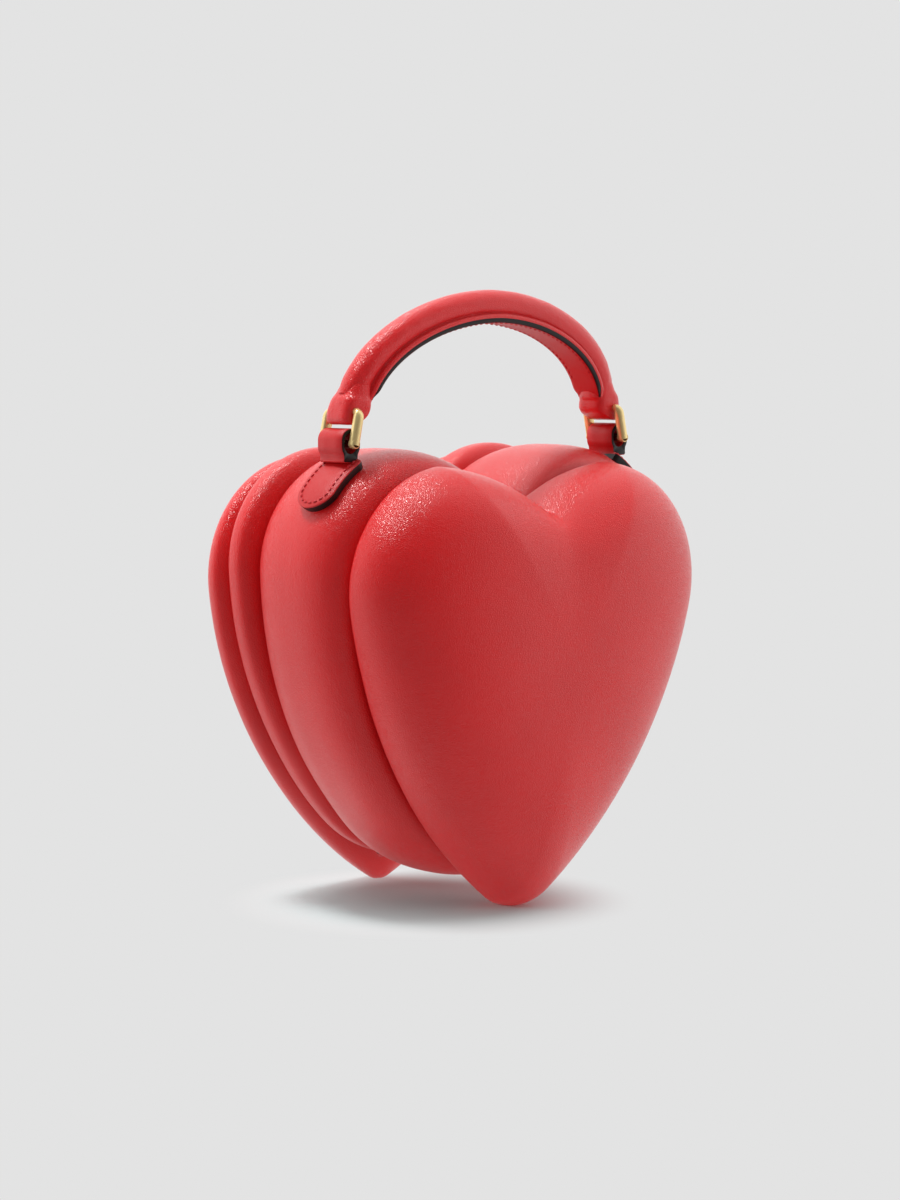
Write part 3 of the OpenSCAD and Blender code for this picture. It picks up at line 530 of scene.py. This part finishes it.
def lip(p):
    """How far a lobe's lip closes over the zip: not beside the slider, nor at the hinge."""
    gap = np.where(p[:, 0] > 0, np.exp(-((p[:, 1] - SLIDER_Z) / LIP_GAP_REACH) ** 2), 0)
    return LIP * smoothstep(np.clip((p[:, 1] - LIP_START) / LIP_RISE, 0, 1)) * (1 - gap)


def lobe_ring(lobe, u, k, front_lip, rear_lip):
    """Ring at share k of the outline and at u, from -1 at the lobe's front to 1 at its rear."""
    p = shrunk(lobe.outline, k)
    front = lobe.front + lobe.zip_front * slider_bay(p) - front_lip * lip(p)
    rear = lobe.rear - lobe.zip_rear * slider_bay(p) + rear_lip * lip(p)
    y = (front + rear) / 2 + (rear - front) / 2 * u
    t = lobe.tilt * (lobe.rear - y) / (lobe.rear - lobe.front)
    return np.stack([p[:, 0], y - p[:, 1] * np.sin(t), p[:, 1] * np.cos(t)], 1)


def lobe_share(lobe, u):
    """Share of the outline that the lobe's bulge reaches at u."""
    return 1 - lobe.draw / lobe.outline.half_width * (1 - math.sqrt(max(0, 1 - abs(u) ** LOBE_POWER)))


def padded_lobe(name, lobe, seed, body, nodes):
    """A padded band that follows the heart's outline, with a hem to its opening on either face."""
    s = lobe.outline
    seam = 1 - lobe.draw / s.half_width
    rings, near = [], []
    for u in np.sin(np.radians(np.linspace(-90, 90, LOBE_STEPS))):
        k = lobe_share(lobe, u)
        rings.append(lobe_ring(lobe, u, k, lobe.zip_front, lobe.zip_rear))
        near.append((1 - abs(u)) * (lobe.rear - lobe.front) / 2 + (k - seam) * s.half_width * 0.6)
    hem = [(left, seam - inset / s.half_width) for left, inset in ((1, 0.9), (0.9, 1.5), (0, 2.0))]
    hem.append((0, lobe.base))
    rings += [lobe_ring(lobe, 1, k, 0, lobe.zip_rear * left) for left, k in hem]
    rings += [lobe_ring(lobe, -1, k, lobe.zip_front * left, 0) for left, k in reversed(hem)]
    near += [FAR] * 2 * len(hem)
    v, f = loft(pucker(np.array(rings), s, near, seed, 6.0), wrap=True)
    o = make(name, wobble(v, SOFT_SCALE, 0.3, seed), f, [M_LEATHER], sharp=60, body=body, slot="red_leather")
    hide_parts(*nodes)


padded_lobe("centre_lobe", CENTRE_LOBE, 5.2, "case", ("centre_lobe_cover", "centre_lobe_padding"))
padded_lobe("narrow_lobe", NARROW_LOBE, 6.6, "rear_case", ("narrow_lobe_cover", "narrow_lobe_padding"))


def lobe_top(y, phi):
    """Point of the centre lobe's right shoulder at depth y and angle phi round its top's centre."""
    lobe, s = CENTRE_LOBE, CENTRE
    o = top_centre(s) + s.top_radius * np.array([math.cos(phi), math.sin(phi)])
    front = lobe.front - o[1] * math.sin(TILT)
    k = lobe_share(lobe, np.clip(2 * (y - front) / (lobe.rear - front) - 1, -1, 1))
    return np.array([k * o[0], y, CORE + k * (o[1] - CORE)])


# stitches
def stitch(p, t, n, length, r):
    """One stitch at p along t, proud of the leather along n, with its ends sunk in."""
    t = t / np.linalg.norm(t)
    n = n - t * np.dot(n, t)
    n = n / np.linalg.norm(n)
    b = np.cross(t, n)
    rings = []
    for x in (-0.5, -0.42, -0.22, 0.22, 0.42, 0.5):
        width = r * math.sqrt(max(0.04, 1 - (2 * x) ** 4))
        rise = 0.12 - 0.3 * abs(2 * x) ** 3  # for a thread of radius 0.34
        c = p + t * x * length + n * rise * r / 0.34
        rings.append([c + width * (math.cos(a) * b + math.sin(a) * n) for a in np.arange(8) * math.pi / 4])
    return loft(rings)


def stitch_row(points, normals, pitch, length, r):
    d = distance_along(points)
    parts = []
    for i in range(int(d[-1] / pitch)):
        x = (i + 0.5) * pitch
        p, q = [np.array([np.interp(x + e, d, points[:, a]) for a in range(3)]) for e in (0, 0.2)]
        n = np.array([np.interp(x, d, normals[:, a]) for a in range(3)])
        parts.append(stitch(p, q - p, n, length, r))
    return parts


# tabs
def tongue_point(a, b, h):
    """Point a mm from the tongue's upper end, b mm across and h mm above the lobe, and its normal."""
    phi = TONGUE_START - a / TONGUE_BEND
    y = HANDLE_Y + b
    e = 0.05
    along = lobe_top(y, phi - e) - lobe_top(y, phi + e)
    across = lobe_top(y + 1, phi) - lobe_top(y - 1, phi)
    n = np.cross(across, along)
    n = n / np.linalg.norm(n)
    if n[0] < 0:
        n = -n
    return lobe_top(y, phi) + n * h, n


def tongue_section(w, top):
    """The outline across a tongue w wide on either side: feet, painted edges, bevels and a crowned top."""
    e = min(TONGUE_BEVEL, w * 0.5)
    side = [(w, 0.15), (w, 1.0), (w, top - TONGUE_BEVEL)]
    side += [(w - e * 0.4, top - TONGUE_BEVEL * 0.3), (w - e, top)]
    crown = [(x, top + TONGUE_CROWN * (1 - (x / w) ** 2)) for x in np.linspace(-w + e, w - e, 11)[1:-1]]
    return [(-x, h) for x, h in side] + crown + side[::-1]


def tongue(side, name):
    length = (TONGUE_START - TONGUE_END) * TONGUE_BEND
    r = TONGUE_WIDTH / 2
    tip = length - r
    stations = list(np.linspace(0, tip, 14))
    stations += [tip + r * math.sin(x) for x in np.radians(np.linspace(6, 89, 18))]
    rings = []
    for q, a in enumerate(stations[:1] + stations):
        w = r if a < tip else math.sqrt(max(0.0004, r * r - (a - tip) ** 2))
        w -= max(0.0, TONGUE_CORNER - a) * 0.6
        top = TONGUE_TOP - (TONGUE_BEVEL if q == 0 else 0)
        section = tongue_section(w, top)
        if q == len(stations):
            section = [(x, min(h, top - TONGUE_BEVEL)) for x, h in section]
        rings.append([tongue_point(a, x, h)[0] for x, h in section])
    v, f = loft(rings)
    n = len(rings[0])
    tip_cap = len(v) - 1
    ids = []
    for face in f:
        js = [i % n for i in face if i < len(rings) * n]
        ids.append(1 if max(js) <= 2 or min(js) >= n - 3 or tip_cap in face else 0)
    v, f = on_side(v, f, side)
    o = make(name, v, f, [M_STRAP, M_EDGE], ids, sharp=50, body="case", slot="red_leather")
    # the seam runs down both sides and round the tip
    rr = r - SEAM_INSET
    path = [(a, -rr) for a in np.arange(TONGUE_CORNER, tip, 1.0)]
    path += [(tip + rr * math.cos(x), rr * math.sin(x)) for x in np.radians(np.linspace(-90, 90, 22))]
    path += [(a, rr) for a in np.arange(tip, TONGUE_CORNER, -1.0)]
    pts, nrm = zip(*[tongue_point(a, b, TONGUE_TOP + TONGUE_CROWN) for a, b in path])
    sv, sf = on_side(*joined(stitch_row(np.array(pts), np.array(nrm), 2.7, 2.0, 0.42)), side)
    make(name + "_stitches", sv, sf, [M_THREAD], body="case", slot="red_leather")
    return o


def band(outer, inner, half):
    """A strap ring across Y from matching outlines in the XZ plane, and which of its faces are painted."""
    edge = 0.35
    outer, inner = np.asarray(outer, float), np.asarray(inner, float)
    d = outer - inner
    n = d / np.maximum(np.linalg.norm(d, axis=1)[:, None], 1e-6)
    rings = []
    for o, j, u in zip(outer, inner, n):
        section = [(o, y) for y in (-half + edge, -half / 3, half / 3, half - edge)]
        section += [(o - u * edge, half), (j + u * edge, half)]
        section += [(j, y) for y in (half - edge, half / 3, -half / 3, -half + edge)]
        section += [(j + u * edge, -half), (o - u * edge, -half)]
        rings.append([[p[0], HANDLE_Y + y, p[1]] for p, y in section])
    v, f = loft(rings, wrap=True)
    ids = []
    for q in f:
        js = sorted(set(i % len(section) for i in q))
        ids.append(1 if js in ([4, 5], [5, 6], [9, 10], [10, 11]) else 0)
    return v, f, ids


def tab_loop(side, name):
    """The strap folded round the screw pin; its plies close to a neck that goes down to the tongue."""
    hw, rise = LOOP_HALF_WIDTH, LOOP_HALF_HEIGHT - LOOP_HALF_WIDTH
    inner, outer = [], []
    for a in np.radians(np.arange(-90, 270, 6)):
        c, s = math.cos(a), math.sin(a)
        up = rise if s > 0 else -rise
        inner.append([PIN_X + (hw - STRAP_THICK) * c, PIN_Z + up + (hw - STRAP_THICK) * s])
        x, z = hw * c, up + hw * s
        deg = math.degrees(a) if a < math.pi / 2 else 180 - math.degrees(a)
        if deg < NECK_ANGLE:
            f = (NECK_ANGLE - deg) / (90 + NECK_ANGLE)
            z = z * (1 - f) + f * NECK_Z
            neck = 0 if deg < -89 else NECK_X * min(1.0, f * 1.6)
            x = math.copysign(abs(x) * (1 - f) + neck, c)
        outer.append([PIN_X + x, PIN_Z + z])
    v, f, ids = band(outer, inner, TAB_WIDTH / 2)
    v, f = on_side(v, f, side)
    make(name, v, f, [M_STRAP, M_EDGE], ids, sharp=50, body="case", slot="red_leather")


for side, word in ((-1, "left"), (1, "right")):
    t = tongue(side, word + "_tongue")
    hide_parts(word + "_tab")
    tab_loop(side, word + "_tab_loop")

# shackles; the eye is a rounded boss with a sunk hole for the screw pin: radii, and heights along the pin
EYE_PROFILE = [(1.52, -1.5), (1.52, 0.86), (1.52, 1.45), (1.62, 1.56), (1.86, 1.5), (2.0, 1.3), (2.05, 0.9),
               (2.05, -1.2), (1.9, -1.5)]


def leaned(v):
    """From a shackle's own place, its pin at the origin, to the model's right side, leaning inwards."""
    c, s = math.cos(LEAN), math.sin(LEAN)
    x = v[:, 0] * c - v[:, 2] * s
    z = v[:, 0] * s + v[:, 2] * c
    return np.stack([x + PIN_X, v[:, 1] + HANDLE_Y, z + PIN_Z], 1)


def bow_ring(y, z, turn):
    """Section of the bow at y, z: a ridged flat arm where turn is 0 or 180 degrees, a round bar at 90."""
    t = math.radians(turn)
    f = math.sin(t) ** 2
    half_x = BOW_ARM_WIDTH / 2 * (1 - f) + BOW_BAR_RADIUS * f
    half_d = BOW_ARM_THICK / 2 * (1 - f) + BOW_BAR_RADIUS * f
    ring = []
    for g in 2 * math.pi * np.arange(28) / 28:
        x, d = rounded(g, half_x, half_d, 3.0 * (1 - f) + 2 * f)
        if math.sin(g) > 0.2:
            d += (1 - f) * BOW_RIDGE * (1 - abs(x) / half_x)
        ring.append([x, y - math.cos(t) * d, z + math.sin(t) * d])
    return ring


def shackle(side, name, body):
    half = BOW_HALF_CLEAR + EYE_HALF_THICK
    rise = [(-half, z, 0.0) for z in np.linspace(-0.6, ARM - BOW_BEND, 10)]
    for a in np.linspace(0, 90, 12)[1:]:
        t = math.radians(a)
        rise.append((-half + BOW_BEND - BOW_BEND * math.cos(t), ARM - BOW_BEND + BOW_BEND * math.sin(t), a))
    bar = [(y, ARM, 90.0) for y in np.linspace(-half + BOW_BEND, half - BOW_BEND, 8)[1:-1]]
    path = rise + bar + [(-y, z, 180 - a) for y, z, a in reversed(rise)]
    parts = [loft([bow_ring(*p) for p in path])]
    for s in (-1, 1):
        turns = np.arange(40) * math.pi / 20
        eye = [[[r * math.cos(g), s * (half + h), r * math.sin(g)] for g in turns] for r, h in EYE_PROFILE]
        parts.append(loft(eye, wrap=True))
    v, f = joined(parts)
    v, f = on_side(leaned(v), f, side)
    o = make(name, v, f, [M_GOLD], sharp=55, body=body, slot="gold_metal")
    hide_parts(name.replace("_bow", "_shackle"))


shackle(-1, "left_bow", "left_link")
shackle(1, "right_bow", "right_link")


# handle
def arch(t):
    """Point of the handle's arch, in X and Z, at t degrees from its left end."""
    x, z = rounded(math.radians(t), ARCH_HALF_WIDTH, ARCH_HEIGHT, ARCH_POWER)
    return np.array([-x, BAR_Z + z])


def arch_out(t):
    d = arch(t + 0.5) - arch(t - 0.5)
    d = d / np.linalg.norm(d)
    return np.array([-d[1], d[0]])


def on_arch(t, across, out):
    p, o = arch(t), arch_out(t)
    z = p[1] + o[1] * out
    return [p[0] + o[0] * out, HANDLE_Y + across - FALL * (z - BAR_Z), z]


def arch_stations():
    """Angles that are evenly spaced along the arch, and each one's distance from the nearer end."""
    t = np.linspace(ARCH_START, 180 - ARCH_START, 800)
    d = distance_along(np.array([arch(x) for x in t]))
    even = np.linspace(0, d[-1], ARCH_STATIONS)
    return np.interp(even, d, t), np.minimum(even, d[-1] - even)


ARCH_T, END_DISTANCE = arch_stations()


def roll_section(t, end_mm):
    """Skin of the padded roll with a sewn lip on either side, as across and out."""
    r = ROLL_RADIUS * (1 - 0.04 * math.exp(-(end_mm / 9) ** 2))
    lip_side = [(8.0, -0.95), (8.12, -0.3), (7.95, 0.35), (7.4, 0.75), (6.6, 0.85), (6.0, 1.0), (5.65, 1.5)]
    skin = []
    for a in np.linspace(-22, 202, 40):
        w = 0.0
        if 4 < a < 176:
            w = 0.10 * noise.noise(Vector((t * 0.05, a * 0.012, 2.0)) * 3.0)
            q = Vector((end_mm * 0.3 + a * 0.02, a * 0.02, t * 0.01))
            w += 0.22 * math.exp(-(end_mm / 17) ** 2) * noise.noise(q)
        turn = math.radians(a)
        skin.append(((r + w) * math.cos(turn), ROLL_CENTRE + (r + w) * math.sin(turn)))
    tuck = 1 - 0.13 * math.exp(-(end_mm / 2.6) ** 2)
    return [(x * tuck, y) for x, y in lip_side + skin + [(-x, y) for x, y in reversed(lip_side)]]


def strap_section(end_mm):
    """The flat strap under the roll, drawn in where it goes into the folded ends."""
    half = [(7.9, -0.95), (7.95, -1.6), (7.9, -2.5), (7.5, -2.9), (6.5, -3.0), (3.0, -3.0)]
    tuck = math.exp(-(end_mm / 3.0) ** 2)
    return [(x * (1 - 0.16 * tuck), o * (1 - 0.45 * tuck) if o < -1 else o)
            for x, o in half + [(-x, o) for x, o in reversed(half)]]


def handle():
    rings = [[on_arch(t, x, o) for x, o in roll_section(t, end)] for t, end in zip(ARCH_T, END_DISTANCE)]
    v, f = loft(rings)
    roll = make("handle_roll_skin", v, f, [M_ROLL], sharp=50, body="handle", slot="red_leather")
    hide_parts("handle_roll", "handle_core")
    rings = [[on_arch(t, x, o) for x, o in strap_section(end)] for t, end in zip(ARCH_T, END_DISTANCE)]
    v, f = loft(rings)
    n = len(rings[0])
    ids = []
    for q in f:
        js = [i % n for i in q]
        ids.append(1 if len(q) == 4 and (max(js) <= 3 or min(js) >= n - 4) else 0)
    looks = [M_STRAP, M_EDGE]
    strap = make("handle_strap_lower", v, f, looks, ids, sharp=50, body="handle", slot="red_leather")
    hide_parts("handle_strap")
    parts = []
    sewn = ARCH_T[SEAM_SKIP:-SEAM_SKIP]
    nrm = np.array([[-arch_out(t)[0], 0, -arch_out(t)[1]] for t in sewn])
    for side in (-1, 1):
        pts = np.array([on_arch(t, side * HANDLE_SEAM_X, HANDLE_SEAM_OUT) for t in sewn])
        parts += stitch_row(pts, nrm, 2.8, 2.0, 0.3)
    v, f = joined(parts)
    make("handle_stitches", v, f, [M_THREAD], body="handle", slot="red_leather")


handle()


def smooth_rows(rows, n):
    """Catmull-Rom through rows of numbers."""
    rows = np.asarray(rows, float)
    ext = np.concatenate([[2 * rows[0] - rows[1]], rows, [2 * rows[-1] - rows[-2]]])
    out = []
    for x in np.linspace(0, len(rows) - 1, n):
        i = min(int(x), len(rows) - 2)
        u = x - i
        a, b, c, d = ext[i:i + 4]
        out.append(0.5 * (2 * b + (c - a) * u + (2 * a - 5 * b + 4 * c - d) * u * u +
                          (3 * b - a - 3 * c + d) * u ** 3))
    return np.array(out)


def end_fold(side, name):
    """The leather gathered from the handle's end and folded round the shackle's top bar."""
    (xa, za), (xb, zb), (xc, zc) = [arch(t) + arch_out(t) * 3.5 for t in (19, 14, 9)]
    # centre x, z, half thickness, half width, tilt in degrees, squareness
    rows = [[xa, za, 4.8, 5.2, 31, 2.2],
            [xb, zb, 6.0, 6.3, 24, 2.3],
            [xc + 0.1, zc - 0.4, 6.65, 7.2, 15, 2.8],
            [-69.2, 211.6, 6.85, 7.7, 8, 3.2],
            [-69.7, 209.4, 7.0, 7.75, 4, 3.6],
            [-70.2, 207.0, 7.0, 7.5, 0, 4.0],
            [-71.0, 204.6, 6.3, 7.3, -4, 4.2],
            [-71.7, 203.0, 4.4, 7.3, -8, 4.0],
            [-72.0, 202.2, 2.2, 7.1, -8, 3.6]]
    rings = []
    for x, z, half_d, half_y, tilt, power in smooth_rows(rows, 40):
        t = math.radians(tilt)
        ring = []
        for g in 2 * math.pi * np.arange(48) / 48:
            d, y = rounded(g, half_d, half_y, power)
            h = z - d * math.sin(t)
            ring.append([x + d * math.cos(t), HANDLE_Y + y - FALL * max(0.0, h - BAR_Z), h])
        rings.append(ring)
    v, f = loft(rings)
    v, f = on_side(wobble(v, 0.16, 0.22, 4.0 + side), f, -side)
    o = make(name, v, f, [M_ROLL], sharp=55, body="handle", slot="red_leather")
    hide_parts(name.replace("_fold", "_loop"))


end_fold(-1, "left_end_fold")
end_fold(1, "right_end_fold")

# camera, as solved from the photo: the focal length was found for a first distance and scaled with it
YAW, PITCH = math.radians(40.89), 0.0803
CAM_SIDE, CAM_BACK, CAM_HEIGHT = 22.59, 1268.5, 230.1
FIRST_FOCAL_PX, FIRST_BACK, PHOTO_HEIGHT_PX = 3500, 1458, 1200
SENSOR = 36.0

cam = bpy.data.cameras.new("camera")
cam.sensor_width = SENSOR
cam.lens = FIRST_FOCAL_PX * CAM_BACK / FIRST_BACK * SENSOR / PHOTO_HEIGHT_PX
cam.clip_end = 50
cam_o = bpy.data.objects.new("camera", cam)
bpy.context.scene.collection.objects.link(cam_o)
cam_o.location = Vector((-CAM_SIDE * math.cos(YAW) - CAM_BACK * math.sin(YAW),
                         CAM_SIDE * math.sin(YAW) - CAM_BACK * math.cos(YAW) + DY, CAM_HEIGHT)) * MM
cam_o.rotation_euler = Euler((math.pi / 2 - PITCH, 0, -YAW), "XYZ")
bpy.context.scene.camera = cam_o

# brightness of the backdrop, of the floor where it takes the shadow, and of the light that it sends up
BACKDROP, FLOOR, BOUNCE = 0.768, 0.74, 0.8
# what shiny surfaces see, and what lights the rest: a bright room with a dim side where the photographer
# stands; start and end of the fall as cosines, then the bright and the dim side's strength
PHOTOGRAPHER = Vector((-0.64, -0.75, 0.1)).normalized()
GLOSS = (-0.2, 0.68, 1.06, 0.07)
FILL = (0.2, 0.95, 0.7, 0.18)
# distances on the floor in metres
SHADOW_START, SHADOW_END = 0.038, 0.09


def smooth_range(nt, value, start, end, first, last):
    return add_node(nt, "MapRange", {"Value": value, "From Min": start, "From Max": end, "To Min": first,
                                     "To Max": last}, interpolation_type="SMOOTHSTEP").outputs["Result"]


def toward_camera(nt, direction, near, far, bright, dim):
    """Brightness that falls from bright to dim as a direction turns to the side where the camera stands."""
    dot = add_node(nt, "VectorMath", {0: direction, 1: PHOTOGRAPHER}, operation="DOT_PRODUCT")
    return smooth_range(nt, dot.outputs["Value"], near, far, bright, dim)


def mixed(nt, fac, first, second):
    return add_node(nt, "MixShader", {"Fac": fac, 1: first, 2: second}).outputs[0]


def stage_material(name):
    """Even pale floor with the object's shadow; rays that only light the object meet a brighter one."""
    m, nt, _ = new_material(name)
    nt.nodes.clear()
    shadow_at = (-0.02, 0, 0)
    away = add_node(nt, "VectorMath", {0: coords(nt), 1: shadow_at}, operation="DISTANCE").outputs["Value"]
    # painted colour: near the bag the floor is tinted cyan, so that the red light bounced from the bag's
    # underside is taken out of its shadow
    near_bag = math_node(nt, "SUBTRACT", math_node(nt, "MULTIPLY", away, 12.0), 0.1)
    painted_tint = add_node(nt, "MixRGB", {"Fac": near_bag, "Color1": (FLOOR * 0.58, FLOOR, FLOOR, 1),
                                   "Color2": grey(FLOOR)}).outputs["Color"]
    shadowed = add_node(nt, "BsdfDiffuse", {"Color": painted_tint}).outputs[0]
    rays = add_node(nt, "LightPath").outputs
    incoming = add_node(nt, "NewGeometry").outputs["Incoming"]
    back = add_node(nt, "VectorMath", {0: incoming, "Scale": -1}, operation="SCALE").outputs[0]
    change = math_node(nt, "SUBTRACT", toward_camera(nt, back, *GLOSS), 1.0)
    strength = math_node(nt, "ADD", math_node(nt, "MULTIPLY", change, rays["Is Glossy Ray"]), 1.0)
    even = add_node(nt, "Emission", {"Color": grey(BACKDROP), "Strength": strength}).outputs[0]
    seen = mixed(nt, smooth_range(nt, away, SHADOW_START, SHADOW_END, 0, 1), shadowed, even)
    seen_by = rays["Is Camera Ray"]
    for ray in ("Is Glossy Ray", "Is Transmission Ray"):
        seen_by = math_node(nt, "MAXIMUM", seen_by, rays[ray])
    bounce = add_node(nt, "Emission", {"Color": grey(BOUNCE)}).outputs[0]
    add_node(nt, "OutputMaterial", {"Surface": mixed(nt, seen_by, bounce, seen)})
    m.cycles.emission_sampling = "NONE"
    return m


def disc(radii, n):
    """A flat floor of rings round the origin."""
    v = [[0, -DY, 0]]
    v += [[r * math.cos(a), r * math.sin(a) - DY, 0] for r in radii for a in np.arange(n) * 2 * math.pi / n]
    f = [[0, 1 + i, 1 + (i + 1) % n] for i in range(n)]
    for k in range(len(radii) - 1):
        a, b = 1 + k * n, 1 + (k + 1) * n
        f += [[a + i, b + i, b + (i + 1) % n, a + (i + 1) % n] for i in range(n)]
    return v, f


floor = make("floor", *disc((300, 900, 8000), 64), [stage_material("floor")])


def studio():
    """The backdrop that the camera sees, and a room for reflections and one for light."""
    world = bpy.data.worlds.new("studio")
    bpy.context.scene.world = world
    world.use_nodes = True
    world.cycles.sampling_method = "NONE"  # each ray kind then meets only its own brightness
    nt = world.node_tree
    nt.nodes.clear()
    rays = add_node(nt, "LightPath").outputs
    facing = add_node(nt, "TexCoord").outputs["Generated"]
    seen = add_node(nt, "Background", {"Color": grey(BACKDROP)}).outputs[0]
    gloss, fill = [toward_camera(nt, facing, *room) for room in (GLOSS, FILL)]
    mirrored = add_node(nt, "Background", {"Color": grey(1), "Strength": gloss}).outputs[0]
    lighting = add_node(nt, "Background", {"Color": grey(1), "Strength": fill}).outputs[0]
    unseen = mixed(nt, rays["Is Glossy Ray"], lighting, mirrored)
    seen_by = math_node(nt, "MAXIMUM", rays["Is Camera Ray"], rays["Is Transmission Ray"])
    add_node(nt, "OutputWorld", {"Surface": mixed(nt, seen_by, unseen, seen)})


def area(name, at, to, size, size_y, power, mirrored=True):
    lamp = bpy.data.lights.new(name, "AREA")
    lamp.energy = power
    lamp.shape = "RECTANGLE"
    lamp.size = size
    lamp.size_y = size_y
    o = bpy.data.objects.new(name, lamp)
    bpy.context.scene.collection.objects.link(o)
    o.visible_glossy = mirrored
    o.location = at
    o.rotation_euler = (Vector(to) - Vector(at)).to_track_quat("-Z", "Y").to_euler()


studio()
area("key_overhead", (-0.33, 0.24, 1.33), (0, 0, 0.12), 0.3, 0.2, 9)
area("top_soft", (-0.1, 0.1, 1.6), (0, 0, 0.12), 1.5, 1.5, 11, mirrored=False)
area("right_front_soft", (1.2, -1.4, 0.0), (0, 0, 0.1), 1.1, 0.9, 20, mirrored=False)
area("left_soft", (-1.3, 1.3, 0.3), (0, 0, 0.1), 1.1, 1.0, 17, mirrored=False)
area("back_soft", (0.5, 1.7, 0.8), (0, 0, 0.1), 1.0, 1.0, 6, mirrored=False)

bpy.context.scene.view_settings.view_transform = "Standard"
